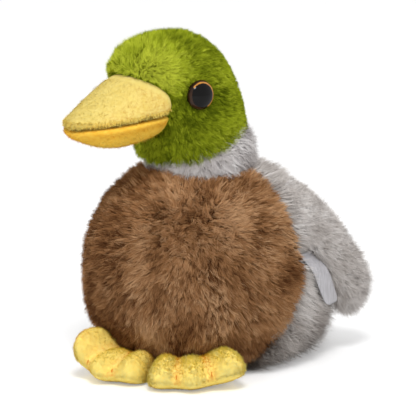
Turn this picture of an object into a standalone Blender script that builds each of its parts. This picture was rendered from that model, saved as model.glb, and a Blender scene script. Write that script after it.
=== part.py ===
"""A small sitting plush duck: sewn pile covers over stuffing.

The head turns and nods on a ball-shaped neck, each wing lifts from its sewn root, and each foot bends
down at its own. The duck faces -Y, its left side is +X, and the origin is the middle of the flat spot that
it sits on.
"""

import math

import bmesh
import bpy
from mathutils import Matrix, Vector
from mathutils.bvhtree import BVHTree

# Gaps and walls, in metres. A cover's wall is its cloth and its pile together.
SEAM_GAP = 0.0003
JOINT_GAP = 0.0008
LONG_PILE_WALL = 0.005
SHORT_PILE_WALL = 0.0024
OVERRUN = 0.2
HALF = 0.5
MERGE_WITHIN = 0.000004
FLAT_DEPTH = 0.0005

# A smooth skin lies inside of its cage, so a cage is drawn this much larger.
CAGE_SHARE = 1.045
SMOOTH_LEVELS = 1

# Body. Each station has its place along the length, then its half width, top and bottom.
BODY_LENGTH = 0.1425
BODY_FRONT = -0.0725
BODY_HALF_WIDTH = 0.055
BODY_HEIGHT = 0.1095
BODY_LIFT = 0.0004
BODY_AXIS_SHARE = 0.484
BODY_SEAM_SHARE = 0.4807
BODY_SIDES = 14
BELLY_SHARE = 0.6
# How far back the pieces laid on the body follow its skin. They run straight on from there.
FOLLOWED_SHARE = 0.975
BODY_SHARES = (
    (0.0, 0.0, 0.5, 0.5),
    (0.055, 0.5, 0.72, 0.23),
    (0.19, 0.85, 0.89, 0.025),
    (0.37, 1.0, 0.985, 0.0),
    (0.55, 0.98, 1.0, 0.0),
    (0.71, 0.86, 0.87, 0.0),
    (0.86, 0.64, 0.7, 0.03),
    (0.96, 0.35, 0.55, 0.15),
    (1.0, 0.0, 0.37, 0.37),
)

# Pellet bag, low in the body
BAG_LENGTH = 0.074
BAG_WIDTH = 0.066
BAG_HEIGHT = 0.044
BAG_PLACE_SHARE = 0.4316

# Neck ball, which the body and the head are hollowed out for
NECK_RADIUS = 0.0265
NECK_BACK_SHARE = 0.4175
NECK_HEIGHT_SHARE = 0.9863
NECK_PLACE = (0.0, BODY_FRONT + BODY_LENGTH * NECK_BACK_SHARE, BODY_HEIGHT * NECK_HEIGHT_SHARE)
NECK_LEAN = math.radians(15)
BAND_WALL = 0.0045
BAND_HALF_HEIGHT = 0.0155
BAND_POINTS = 6
BAND_BORE_SHARE = 0.6
NECK_BALL_POINTS = 10
NECK_STEPS = 24
SOCKET_SIDES = 22
SOCKET_RINGS = 12

# Head, measured from the neck's centre. Each station has its height, half width, reach ahead and reach
# behind.
HEAD_TURN = math.radians(-16)
HEAD_PITCH = math.radians(7)
HEAD_HEIGHT = 0.0672
HEAD_HALF_WIDTH = 0.03
HEAD_REACH = 0.049
HEAD_SIDES = 12
HEAD_SHARES = (
    (1.0, 0.0, 0.33, -0.33),
    (0.965, 0.42, 0.6, 0.0),
    (0.86, 0.78, 0.91, 0.2),
    (0.7, 0.95, 1.0, 0.38),
    (0.48, 1.0, 0.87, 0.46),
    (0.29, 0.98, 0.73, 0.52),
    (0.15, 0.93, 0.66, 0.53),
    (0.03, 0.87, 0.6, 0.5),
    (-0.1, 0.0, 0.05, -0.05),
)

# Beak. Each station has its place from base to tip, its half width and its height from the mouth line.
BEAK_BASE = 0.028
BEAK_LENGTH = 0.0542
BEAK_HALF_WIDTH = 0.0258
BEAK_MOUTH_HEIGHT = 0.0312
BEAK_LIP_SHARE = 0.16
BEAK_SIDES = 8
UPPER_BEAK_HEIGHT = 0.0245
UPPER_BEAK_POWER = 1.3
UPPER_BEAK_SHARES = (
    (0.0, 0.0, 0.5),
    (0.04, 0.97, 1.0),
    (0.24, 0.97, 0.97),
    (0.46, 0.88, 0.75),
    (0.66, 0.75, 0.5),
    (0.83, 0.55, 0.3),
    (0.95, 0.33, 0.17),
    (1.0, 0.0, 0.08),
)
LOWER_BEAK_DEPTH = 0.0156
LOWER_BEAK_POWER = 1.0
LOWER_BEAK_SHARES = (
    (0.0, 0.0, 0.5),
    (0.04, 0.8, 0.93),
    (0.3, 0.82, 1.0),
    (0.52, 0.8, 1.0),
    (0.7, 0.71, 0.82),
    (0.84, 0.54, 0.56),
    (0.95, 0.32, 0.34),
    (0.99, 0.0, 0.2),
)

# Eyes
EYE_RADIUS = 0.0075
EYE_DOME = 0.0042
EYE_RIM = 0.0011
EYE_PROUD = 0.003
EYE_AHEAD = math.radians(6)
EYE_UP = math.radians(3)
EYE_ORIGIN_AHEAD = 0.0155
EYE_ORIGIN_HEIGHT = 0.0368
SHANK_RADIUS = 0.0018
SHANK_LENGTH = 0.0125
SHANK_RIDGE = 0.0004
SHANK_RIDGE_PITCH = 0.0016
SHANK_RIDGES = 3
WASHER_RADIUS = 0.0062
WASHER_SEAT = 0.0004
WASHER_THICKNESS = 0.0009
WASHER_DISH = 0.0006
EYE_STEPS = 16
DOME_POINTS = 4

# Wings, wrapped round the body's side. Each station has its place along, its half width and its thickness.
WING_ROOT_SHARE = 0.5053
WING_REACH_SHARE = 0.4035
WING_ROOT = BODY_FRONT + BODY_LENGTH * WING_ROOT_SHARE
WING_REACH = BODY_LENGTH * WING_REACH_SHARE
WING_HALF_WIDTH = 0.0172
WING_THICKNESS = 0.0088
WING_INNER_SHARE = 0.24
WING_ROOT_ANGLE = math.radians(34)
WING_SWEEP = math.radians(53)
WING_FLARE = 0.0205
WING_FLARE_POWER = 2.7
WING_SEAT_SHARE = 0.8
WING_WRAP_SHARE = 0.909
WING_WRAP_RADIUS = BODY_HALF_WIDTH * WING_WRAP_SHARE
WING_SIDES = 10
WING_LINING_WALL = 0.0016
WING_OUTER_WALL = 0.0032
WING_FILL_START = 0.16
WING_CUT_SHARE = 1.15
WING_HINGE_SHARE = 0.3
WING_CUTS = (8, 4)
WING_FLOOR_RISE = 0.0009
WING_ROOM_REACH = 0.0006
WING_BODY_GAP = 0.0006
WING_SHARES = (
    (0.0, 0.0, 0.2),
    (0.015, 0.8, 0.42),
    (0.22, 0.97, 0.72),
    (0.48, 1.0, 1.0),
    (0.74, 0.92, 0.98),
    (0.93, 0.6, 0.72),
    (1.0, 0.0, 0.25),
)

# Feet. Each station runs across the foot: its place, its reach ahead, its start and its height.
FOOT_LENGTH = 0.0505
FOOT_HALF_WIDTH = 0.0272
FOOT_HEIGHT = 0.0172
FOOT_PLACE_SHARES = (0.2273, 0.2035)
FOOT_ROOT = (BODY_HALF_WIDTH * FOOT_PLACE_SHARES[0], BODY_FRONT + BODY_LENGTH * FOOT_PLACE_SHARES[1])
FOOT_TURNS = {"left": math.radians(36), "right": math.radians(1)}
FOOT_LIFTS = {"left": 0.0075, "right": 0.0125}
FOOT_SWELLS = {"left": 0.0, "right": 0.5}
FOOT_OUTER_SHARES = {"left": 1.26, "right": 0.86}
FOOT_FAN_SHARE = 0.42
FOOT_HINGE_HEIGHT = 0.0022
FOOT_SEAM_HEIGHT = 0.0048
FOOT_SIDES = 8
FOOT_SOLE_WALL = 0.0016
FOOT_FILL_START = 0.2
FOOT_CUT_SHARE = 1.2
FOOT_CUTS = (7, 0)
FOOT_RAMP_SHARE = 0.22
FOOT_ROOT_SHARE = 0.17
FOOT_SHARES = (
    (-1.0, 0.55, 0.55, 0.5),
    (-0.9, 0.76, 0.14, 0.8),
    (-0.62, 0.88, 0.06, 1.0),
    (-0.31, 0.84, 0.0, 0.82),
    (0.0, 1.0, 0.0, 1.0),
    (0.31, 0.84, 0.0, 0.82),
    (0.62, 0.88, 0.06, 1.0),
    (0.9, 0.76, 0.14, 0.8),
    (1.0, 0.55, 0.55, 0.5),
)

# Tail. Each station has its place along, its half width and its half thickness.
TAIL_LENGTH = 0.036
TAIL_HALF_WIDTH = 0.0135
TAIL_HALF_THICKNESS = 0.0062
TAIL_PLACE_SHARES = (0.8807, 0.4822)
TAIL_PLACE = (0.0, BODY_FRONT + BODY_LENGTH * TAIL_PLACE_SHARES[0], BODY_HEIGHT * TAIL_PLACE_SHARES[1])
TAIL_RISE = math.radians(22)
TAIL_SIDES = 8
TAIL_SHARES = (
    (0.0, 0.0, 0.0),
    (0.05, 0.8, 0.9),
    (0.45, 1.0, 1.0),
    (0.82, 0.66, 0.72),
    (1.0, 0.0, 0.0),
)

# Side ribbon, sewn into the left seam and lying along the body under the wing
RIBBON_LENGTH = 0.031
RIBBON_WIDTH = 0.0145
RIBBON_THICKNESS = 0.0006
RIBBON_START = 0.0012
RIBBON_START_ANGLE = math.radians(7)
RIBBON_SLANT = math.radians(38)
RIBBON_LIFT = 0.0055
RIBBON_CUTS = (8, 2)


def clear_scene():
    """Empties the scene."""
    for old in list(bpy.data.objects):
        bpy.data.objects.remove(old, do_unlink=True)


def new_collection(name):
    """A collection of this name under the scene."""
    made = bpy.data.collections.new(name)
    bpy.context.scene.collection.children.link(made)
    return made


def new_material(name, colour, roughness):
    """A Principled material."""
    made = bpy.data.materials.new(name)
    made.use_nodes = True
    shader = made.node_tree.nodes["Principled BSDF"]
    shader.inputs["Base Color"].default_value = (*colour, 1.0)
    shader.inputs["Roughness"].default_value = roughness
    shader.inputs["Metallic"].default_value = 0.0
    return made


def mesh_from(shape, name):
    """A mesh datablock from a bmesh, which is freed."""
    shape.normal_update()
    bmesh.ops.recalc_face_normals(shape, faces=shape.faces)
    mesh = bpy.data.meshes.new(name)
    shape.to_mesh(mesh)
    shape.free()
    mesh.shade_smooth()
    return mesh


def add_piece(name, mesh, material, parent=None):
    """A visible sub-part."""
    piece = bpy.data.objects.new(name, mesh)
    DUCK.objects.link(piece)
    piece.parent = parent
    mesh.materials.clear()
    mesh.materials.append(material)
    return piece


def add_cutter(name, mesh, parent=None):
    """A hidden shape that others are cut by."""
    cutter = bpy.data.objects.new(name, mesh)
    CUTTERS.objects.link(cutter)
    cutter.parent = parent
    cutter.hide_render = True
    cutter.display_type = "WIRE"
    return cutter


def smooth(piece, offset=0.0):
    """Rounds a cage, and moves the skin out by offset."""
    rounded = piece.modifiers.new("smooth", "SUBSURF")
    rounded.levels = SMOOTH_LEVELS
    rounded.render_levels = SMOOTH_LEVELS
    if offset:
        moved = piece.modifiers.new("offset", "DISPLACE")
        moved.mid_level = 0.0
        moved.strength = offset
    return piece


def boolean(piece, other, operation="DIFFERENCE"):
    """Cuts a piece by another object, or keeps what they share."""
    cut = piece.modifiers.new(other.name, "BOOLEAN")
    cut.operation = operation
    cut.solver = "EXACT"
    cut.object = other
    return piece


def finished_mesh(piece):
    """A piece's mesh with its modifiers carried out."""
    bpy.context.view_layer.update()
    graph = bpy.context.evaluated_depsgraph_get()
    return bpy.data.meshes.new_from_object(piece.evaluated_get(graph))


def mirrored(piece, name):
    """The right side's copy of a finished left piece."""
    copy = add_piece(name, finished_mesh(piece), piece.data.materials[0])
    copy.data.transform(Matrix.Scale(-1, 4, (1, 0, 0)))
    copy.data.flip_normals()
    copy.location = (-piece.location.x, piece.location.y, piece.location.z)


def set_origin(piece, pivot):
    """Moves a piece's origin to a point without moving its shape."""
    piece.data.transform(Matrix.Translation(-pivot))
    piece.location = pivot


def ring_cage(name, sides, stations, place):
    """A UV sphere with a ring of points at each station. place puts a point by its station and angle."""
    cage = bmesh.new()
    rows = len(stations) - 1
    bmesh.ops.create_uvsphere(cage, u_segments=sides, v_segments=rows, radius=1)
    for point in cage.verts:
        height = max(-1.0, min(1.0, point.co.z))
        row = round(rows * math.acos(height) / math.pi)
        point.co = place(stations[row], math.atan2(point.co.y, point.co.x))
    return mesh_from(cage, name)


def block(name, low, high, parent=None):
    """A hidden box between two corners."""
    shape = bmesh.new()
    bmesh.ops.create_cube(shape, size=1)
    size = [b - a for a, b in zip(low, high)]
    middle = [(a + b) / 2 for a, b in zip(low, high)]
    bmesh.ops.scale(shape, vec=size, verts=shape.verts)
    bmesh.ops.translate(shape, vec=middle, verts=shape.verts)
    return add_cutter(name, mesh_from(shape, name), parent)


def bent_mesh(name, low, high, cuts, place):
    """A box between two corners, divided along X and Y and bent by place."""
    shape = bmesh.new()
    bmesh.ops.create_cube(shape, size=1)
    for axis, count in enumerate(cuts):
        along = [e for e in shape.edges if abs(e.verts[0].co[axis] - e.verts[1].co[axis]) > HALF]
        bmesh.ops.subdivide_edges(shape, edges=along, cuts=count, use_grid_fill=True)
    for point in shape.verts:
        shares = [HALF + side for side in point.co]
        point.co = place(Vector([a + (b - a) * share for a, b, share in zip(low, high, shares)]))
    return mesh_from(shape, name)


def smoothstep(share):
    """0 below 0, 1 above 1, and an even rise between."""
    share = max(0.0, min(1.0, share))
    return share * share * (3 - 2 * share)


def turn_profile(piece, profile, steps):
    """Turns a profile of (radius, height) points about Z. It runs from the top to the bottom."""
    ends = [(i, i + 1) for i in range(len(profile) - 1)]
    if profile[0][0] > 0:
        ends.append((len(profile) - 1, 0))
    piece.data.from_pydata([(radius, 0, height) for radius, height in profile], ends, [])
    screw = piece.modifiers.new("turn", "SCREW")
    screw.steps = steps
    screw.render_steps = steps
    screw.use_merge_vertices = True
    screw.merge_threshold = MERGE_WITHIN
    screw.use_smooth_shade = True
    return piece


def turned(name, profile, steps, parent, material):
    """A visible turned piece."""
    return turn_profile(add_piece(name, bpy.data.meshes.new(name), material, parent), profile, steps)


def turned_cutter(name, profile, steps, parent):
    """A hidden turned shape."""
    return turn_profile(add_cutter(name, bpy.data.meshes.new(name), parent), profile, steps)


def floor_block():
    """Everything under the floor, which flattens what the duck sits on."""
    return block("floor_cut", (-OVERRUN, -OVERRUN, -OVERRUN), (OVERRUN, OVERRUN, 0))


def body_cage(name):
    """The egg-shaped body, wider in front, with a flatter belly."""

    def place(station, angle):
        along, half_width, top, bottom = station
        middle = (top + bottom) / 2
        half = (top - bottom) / 2 * CAGE_SHARE
        rise = math.sin(angle)
        if rise < 0:
            rise = -((-rise) ** BELLY_SHARE)
        middle_length = BODY_FRONT + BODY_LENGTH / 2
        return (
            BODY_HALF_WIDTH * half_width * CAGE_SHARE * math.cos(angle),
            middle_length + (along - HALF) * BODY_LENGTH * CAGE_SHARE,
            BODY_HEIGHT * (middle + half * rise) + BODY_LIFT,
        )

    return ring_cage(name, BODY_SIDES, BODY_SHARES, place)


def socket(name, parent=None):
    """The hollow in which the neck ball turns."""
    shape = bmesh.new()
    radius = NECK_RADIUS + JOINT_GAP
    bmesh.ops.create_uvsphere(shape, u_segments=SOCKET_SIDES, v_segments=SOCKET_RINGS, radius=radius)
    bmesh.ops.translate(shape, vec=NECK_PLACE, verts=shape.verts)
    return add_cutter(name, mesh_from(shape, name), parent)


def make_body():
    """The two body covers, the stuffing and the pellet bag."""
    inner = smooth(add_cutter("body_inner", body_cage("body_inner")), -LONG_PILE_WALL)
    half_gap = SEAM_GAP / 2
    seam = BODY_FRONT + BODY_LENGTH * BODY_SEAM_SHARE
    behind = block(
        "behind_seam",
        (-OVERRUN, seam - half_gap, -OVERRUN),
        (OVERRUN, OVERRUN, OVERRUN),
    )
    ahead = block(
        "ahead_of_seam",
        (-OVERRUN, -OVERRUN, -OVERRUN),
        (OVERRUN, seam + half_gap, OVERRUN),
    )
    for name, material, other_half in (
        ("breast_cover", BROWN_PILE, behind),
        ("back_cover", GREY_PILE, ahead),
    ):
        cover = smooth(add_piece(name, body_cage(name), material))
        for cutter in (inner, other_half, FLOOR_CUT, SOCKET_CUT):
            boolean(cover, cutter)
    fill_offset = -LONG_PILE_WALL - SEAM_GAP
    stuffing = smooth(add_piece("body_stuffing", body_cage("body_stuffing"), STUFFING), fill_offset)
    boolean(stuffing, bag_shape("bag_hollow", SEAM_GAP))
    boolean(stuffing, SOCKET_CUT)
    bag = smooth(add_piece("pellet_bag", body_cage("pellet_bag"), BAG_CLOTH), fill_offset)
    boolean(bag, bag_shape("bag_limit", 0.0), "INTERSECT")


def bag_shape(name, gap):
    """The rounded lump that the pellet bag fills low in the body."""
    shape = bmesh.new()
    bmesh.ops.create_uvsphere(shape, u_segments=SOCKET_SIDES, v_segments=SOCKET_RINGS, radius=1)
    size = [side / 2 + gap for side in (BAG_WIDTH, BAG_LENGTH, BAG_HEIGHT)]
    bmesh.ops.scale(shape, vec=size, verts=shape.verts)
    middle = BODY_FRONT + BODY_LENGTH * BAG_PLACE_SHARE
    bmesh.ops.translate(shape, vec=(0, middle, LONG_PILE_WALL), verts=shape.verts)
    return add_cutter(name, mesh_from(shape, name))


def band_profile(gap):
    """The neck band's section: a stretch of the ball with a straight bore. gap makes it larger all round."""
    outer = NECK_RADIUS + gap
    half = BAND_HALF_HEIGHT + gap
    bore = math.sqrt(NECK_RADIUS**2 - BAND_HALF_HEIGHT**2) - BAND_WALL * BAND_BORE_SHARE - gap
    points = []
    for step in range(BAND_POINTS + 1):
        height = half * (1 - 2 * step / BAND_POINTS)
        points.append((math.sqrt(outer**2 - height**2), height))
    return [*points, (bore, -half), (bore, half)]


def ball_profile(radius, points):
    """Half a circle from the top to the bottom."""
    profile = []
    for step in range(points + 1):
        angle = math.pi * step / points
        profile.append((abs(radius * math.sin(angle)), radius * math.cos(angle)))
    profile[0] = (0, radius)
    profile[-1] = (0, -radius)
    return profile


def make_neck():
    """The pale band, and the stuffing that fills it and bulges out of both ends."""
    turned("neck_band", band_profile(0.0), NECK_STEPS, NECK_PIVOT, WHITE_PILE)
    hollow = turned_cutter("band_hollow", band_profile(SEAM_GAP), NECK_STEPS, NECK_PIVOT)
    fill = ball_profile(NECK_RADIUS - SEAM_GAP, NECK_BALL_POINTS)
    boolean(turned("neck_stuffing", fill, NECK_STEPS, NECK_PIVOT, STUFFING), hollow)


def head_cage(name):
    """The head: a full ball that narrows to the neck and reaches forward over the beak."""

    def place(station, angle):
        height, half_width, ahead, behind = station
        middle = (ahead - behind) / 2
        half = (ahead + behind) / 2 * CAGE_SHARE
        return (
            HEAD_HALF_WIDTH * half_width * CAGE_SHARE * math.cos(angle),
            -HEAD_REACH * (middle + half * math.sin(angle)),
            HEAD_HEIGHT * height,
        )

    return ring_cage(name, HEAD_SIDES, HEAD_SHARES, place)


def beak_cage(name, stations, depth, power):
    """Half a beak: a dome on the mouth line, or hung under it where depth is below zero.

    A higher power makes it narrower towards its ridge."""
    lip = BEAK_LIP_SHARE * depth
    half_gap = math.copysign(SEAM_GAP / 2, depth)

    def place(station, angle):
        along, half_width, height = station
        rise = math.sin(angle)
        if half_width == 0:
            reach = height * depth
        elif rise < 0:
            reach = lip * (1 + rise)
        else:
            reach = lip + (height * depth * CAGE_SHARE - lip) * rise**power
        return (
            BEAK_HALF_WIDTH * half_width * CAGE_SHARE * math.cos(angle),
            -BEAK_BASE - BEAK_LENGTH * along,
            BEAK_MOUTH_HEIGHT + half_gap + reach,
        )

    return ring_cage(name, BEAK_SIDES, stations, place)


def make_beak(head_outer):
    """The upper and lower beak, each a cover that is open at the head, with its stuffing."""
    for name, material, *form in (
        ("upper_beak", YELLOW_PILE, UPPER_BEAK_SHARES, UPPER_BEAK_HEIGHT, UPPER_BEAK_POWER),
        ("lower_beak", ORANGE_PILE, LOWER_BEAK_SHARES, -LOWER_BEAK_DEPTH, LOWER_BEAK_POWER),
    ):
        inner = add_cutter(f"{name}_inner", beak_cage(name, *form), HEAD_PIVOT)
        smooth(inner, -SHORT_PILE_WALL)
        cover = add_piece(f"{name}_cover", beak_cage(name, *form), material, HEAD_PIVOT)
        smooth(cover)
        fill = add_piece(f"{name}_stuffing", beak_cage(name, *form), STUFFING, HEAD_PIVOT)
        smooth(fill, -SHORT_PILE_WALL - SEAM_GAP)
        for piece in (cover, fill):
            boolean(piece, head_outer)
        boolean(cover, inner)


def eye_axis(side):
    """The way an eye faces, in the head's own axes."""
    level = math.cos(EYE_UP)
    return Vector((side * level * math.cos(EYE_AHEAD), -level * math.sin(EYE_AHEAD), math.sin(EYE_UP)))


def eye_profile(gap):
    """A domed eye with a ridged shank, from the middle of the dome to the shank's end."""
    radius = EYE_RADIUS + gap
    profile = []
    for step in range(DOME_POINTS + 1):
        angle = math.pi / 2 * step / DOME_POINTS
        profile.append((radius * math.sin(angle), (EYE_DOME + gap) * math.cos(angle)))
    profile[0] = (0, EYE_DOME + gap)
    shank = SHANK_RADIUS + gap
    profile += [(radius, -EYE_RIM - gap), (shank, -EYE_RIM - gap)]
    if not gap:
        for ridge in range(SHANK_RIDGES):
            height = -SHANK_LENGTH + SHANK_RIDGE_PITCH * (SHANK_RIDGES - ridge)
            profile += [(shank, height), (shank - SHANK_RIDGE, height - SHANK_RIDGE_PITCH / 2)]
    return [*profile, (shank, -SHANK_LENGTH - gap), (0, -SHANK_LENGTH - gap)]


def washer_profile(gap, top):
    """A dished lock washer round the shank."""
    bore = SHANK_RADIUS + SEAM_GAP - gap
    rim = WASHER_RADIUS + gap
    return [
        (bore, top + gap),
        (rim, top + gap),
        (rim, top - WASHER_THICKNESS - gap),
        (bore, top - WASHER_THICKNESS - WASHER_DISH - gap),
    ]


def make_eye(side, name, head_outer, cutters):
    """One eye and its washer, seated on the head's skin. Adds what they displace to cutters."""
    origin = Vector((0, -EYE_ORIGIN_AHEAD, EYE_ORIGIN_HEIGHT))
    axis = eye_axis(side)
    spot = head_outer.ray_cast(origin, axis)[0]
    seat = spot + axis * (EYE_PROUD - EYE_DOME)
    turn = axis.to_track_quat("Z", "Y").to_matrix().to_4x4()
    place = Matrix.Translation(seat) @ turn
    washer_top = -LONG_PILE_WALL - EYE_PROUD + EYE_DOME - WASHER_SEAT
    pieces = (
        turned(f"{name}_eye", eye_profile(0.0), EYE_STEPS, HEAD_PIVOT, EYE_PLASTIC),
        turned(f"{name}_eye_washer", washer_profile(0.0, washer_top), EYE_STEPS, HEAD_PIVOT, WASHER_PLASTIC),
    )
    for piece in pieces:
        piece.matrix_local = place
    for label, profile in (
        ("eye", eye_profile(SEAM_GAP)),
        ("washer", washer_profile(SEAM_GAP, washer_top)),
    ):
        cutter = turned_cutter(f"{name}_{label}_hollow", profile, EYE_STEPS, HEAD_PIVOT)
        cutter.matrix_local = place
        cutters.append(cutter)


def make_head():
    """The head's cover and stuffing, with the beak and the eyes."""
    outer = smooth(add_cutter("head_outer", head_cage("head_outer"), HEAD_PIVOT), SEAM_GAP)
    inner = smooth(add_cutter("head_inner", head_cage("head_inner"), HEAD_PIVOT), -LONG_PILE_WALL)
    bpy.context.view_layer.update()
    skin = BVHTree.FromObject(outer, bpy.context.evaluated_depsgraph_get())
    hollows = []
    for side, name in ((1, "left"), (-1, "right")):
        make_eye(side, name, skin, hollows)
    cover = smooth(add_piece("head_cover", head_cage("head_cover"), GREEN_PILE, HEAD_PIVOT))
    fill = add_piece("head_stuffing", head_cage("head_stuffing"), STUFFING, HEAD_PIVOT)
    smooth(fill, -LONG_PILE_WALL - SEAM_GAP)
    boolean(cover, inner)
    for piece in (cover, fill):
        boolean(piece, SOCKET_CUT)
        for hollow in hollows:
            boolean(piece, hollow)
    make_beak(outer)


def on_body(length, angle, height):
    """A point at a height above the body's skin. angle is counted up from the left side."""
    followed = min(length, BODY_FRONT + BODY_LENGTH * FOLLOWED_SHARE)
    beyond = Vector((0, length - followed, 0))
    origin = Vector((0, followed, BODY_HEIGHT * BODY_AXIS_SHARE))
    ray = Vector((math.cos(angle), 0, math.sin(angle)))
    return BODY_SKIN.ray_cast(origin, ray)[0] + beyond + ray * height


def on_wing(point):
    """Wraps a point of the flat left wing round the body. X runs to the tip, and Z is outwards."""
    along = point.x / WING_REACH
    middle = WING_ROOT_ANGLE - WING_SWEEP * smoothstep(along)
    angle = middle + point.y / WING_WRAP_RADIUS
    rest = JOINT_GAP + WING_THICKNESS * WING_INNER_SHARE * WING_SEAT_SHARE
    flare = WING_FLARE * max(0.0, along) ** WING_FLARE_POWER
    return on_body(WING_ROOT + point.x, angle, rest + flare + point.z)


def between(stations, along, column):
    """What a column of the stations holds at a place between them."""
    for before, after in zip(stations, stations[1:]):
        if along <= after[0]:
            share = (along - before[0]) / (after[0] - before[0])
            return before[column] + (after[column] - before[column]) * share
    return stations[-1][column]


def wing_cage(name):
    """The left wing: a leaf with a flatter inner side."""

    def place(station, angle):
        along, half_width, thickness = station
        across = WING_HALF_WIDTH * half_width * CAGE_SHARE * math.cos(angle)
        share = 1.0 if math.sin(angle) > 0 else WING_INNER_SHARE
        height = WING_THICKNESS * thickness * share * math.sin(angle)
        return on_wing(Vector((WING_REACH * along, across, height)))

    return ring_cage(name, WING_SIDES, WING_SHARES, place)


def wing_room(name, gap=0.0):
    """The room under the wing's outer panel, made smaller by gap. Its flat side lies inside the lining."""
    rim = WING_OUTER_WALL + gap
    floor = -WING_ROOM_REACH
    start = WING_FILL_START + rim / WING_REACH
    run = 1.0 - start - 2 * rim / WING_REACH

    def place(station, angle):
        along = start + run * station[0]
        open_share = 0.0 if station[1] == 0 else 1.0
        half_width = WING_HALF_WIDTH * between(WING_SHARES, along, 1) * CAGE_SHARE - rim
        thickness = WING_THICKNESS * between(WING_SHARES, along, 2) - rim - floor
        across = half_width * math.cos(angle) * open_share
        height = floor + max(thickness, 0.0) * max(math.sin(angle), 0.0) * open_share
        return on_wing(Vector((WING_REACH * along, across, height)))

    return ring_cage(name, WING_SIDES, WING_SHARES, place)


def wing_half(name, low, high):
    """A bent block that holds the wing's thickness from low to high."""
    edge = WING_HALF_WIDTH * WING_CUT_SHARE
    start = (-WING_THICKNESS, -edge, low)
    end = (WING_REACH * WING_CUT_SHARE, edge, high)
    return add_cutter(name, bent_mesh(name, start, end, WING_CUTS, on_wing))


def make_wings():
    """Each wing's outer panel, its lining and the stuffing between them."""
    inner = smooth(add_cutter("wing_inner", wing_room("wing_inner")))
    half_gap = SEAM_GAP / 2
    depth = WING_THICKNESS * WING_CUT_SHARE
    under = wing_half("wing_under", -depth, half_gap)
    floor = wing_half("wing_floor", -depth, WING_FLOOR_RISE)
    over = wing_half("wing_over", -half_gap, depth)
    body_limit = smooth(add_cutter("wing_limit", body_cage("wing_limit")), WING_BODY_GAP)
    pivot = on_wing(Vector((0, 0, WING_THICKNESS * WING_HINGE_SHARE)))
    for label, material, mesh, cutters in (
        ("wing_outer", GREY_PILE, wing_cage("wing_outer"), (inner, under, body_limit)),
        ("wing_lining", LINING_CLOTH, wing_cage("wing_lining"), (over, body_limit)),
        ("wing_stuffing", STUFFING, wing_room("wing_stuffing", SEAM_GAP), (floor,)),
    ):
        piece = smooth(add_piece(f"left_{label}", mesh, material))
        for cutter in cutters:
            boolean(piece, cutter)
        set_origin(piece, pivot)
        mirrored(piece, f"right_{label}")


def foot_cage(name, spot, inset=0.0):
    """A foot: three toes side by side on a thin root. -Y is ahead. An inset gives the room inside."""
    first = FOOT_FILL_START if inset else 0.0
    narrow = inset / FOOT_HALF_WIDTH
    short = inset / FOOT_LENGTH

    def place(station, angle):
        across, reach, start, height = station
        start = max(start, first) + short
        reach = max(reach - short, start + short)
        swell = CAGE_SHARE * math.cos(angle)
        ahead = (reach + start) / 2 + (reach - start) / 2 * swell
        fan = FOOT_FAN_SHARE + (1 - FOOT_FAN_SHARE) * ahead
        ramp = FOOT_ROOT_SHARE + (1 - FOOT_ROOT_SHARE) * smoothstep(ahead / FOOT_RAMP_SHARE)
        half_height = FOOT_HEIGHT * height * ramp / 2
        rise = max(half_height - inset, 0.0) * math.sin(angle) * CAGE_SHARE
        flat = Vector((
            FOOT_HALF_WIDTH * across * (1 - narrow) * fan,
            -FOOT_LENGTH * ahead,
            half_height + rise - FLAT_DEPTH,
        ))
        return spot(flat)

    return ring_cage(name, FOOT_SIDES, FOOT_SHARES, place)


def make_foot(side, name):
    """One foot: its top panel, its sole and the stuffing between them."""
    root = Vector((side * FOOT_ROOT[0], FOOT_ROOT[1], 0))
    turn = Matrix.Rotation(side * FOOT_TURNS[name], 4, "Z")

    def spot(point):
        outwards = side * point.x / FOOT_HALF_WIDTH
        across = point.x * (FOOT_OUTER_SHARES[name] if outwards > 0 else 1.0)
        rise = smoothstep(outwards)
        height = point.z * (1 + FOOT_SWELLS[name] * rise) + FOOT_LIFTS[name] * rise
        return root + turn @ Vector((across, point.y, height))

    inner = smooth(add_cutter(f"{name}_foot_inner", foot_cage("foot_inner", spot, FOOT_SOLE_WALL)))
    half_gap = SEAM_GAP / 2
    edge = FOOT_HALF_WIDTH * FOOT_CUT_SHARE
    front = -FOOT_LENGTH * FOOT_CUT_SHARE
    top = FOOT_HEIGHT * FOOT_CUT_SHARE
    behind = FOOT_HEIGHT
    seam = FOOT_SEAM_HEIGHT
    low = bent_mesh("low", (-edge, front, -top), (edge, behind, seam + half_gap), FOOT_CUTS, spot)
    low = add_cutter(f"{name}_foot_low", low)
    high = bent_mesh("high", (-edge, front, seam - half_gap), (edge, behind, top), FOOT_CUTS, spot)
    high = add_cutter(f"{name}_foot_high", high)
    body_limit = smooth(add_cutter(f"{name}_foot_limit", body_cage("foot_limit")), JOINT_GAP)
    for label, material, inset, cutters in (
        ("foot_upper", YELLOW_PILE, 0.0, (inner, low)),
        ("foot_sole", ORANGE_PILE, 0.0, (inner, FLOOR_CUT, high)),
        ("foot_stuffing", STUFFING, FOOT_SOLE_WALL + SEAM_GAP, ()),
    ):
        piece = smooth(add_piece(f"{name}_{label}", foot_cage(label, spot, inset), material))
        for cutter in (*cutters, body_limit):
            boolean(piece, cutter)
        set_origin(piece, root + Vector((0, 0, FOOT_HINGE_HEIGHT)))


def tail_cage(name):
    """The short pointed tail."""

    def place(station, angle):
        along, half_width, thickness = station
        return (
            TAIL_HALF_WIDTH * half_width * math.cos(angle),
            TAIL_LENGTH * along,
            TAIL_HALF_THICKNESS * thickness * math.sin(angle),
        )

    return ring_cage(name, TAIL_SIDES, TAIL_SHARES, place)


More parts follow.
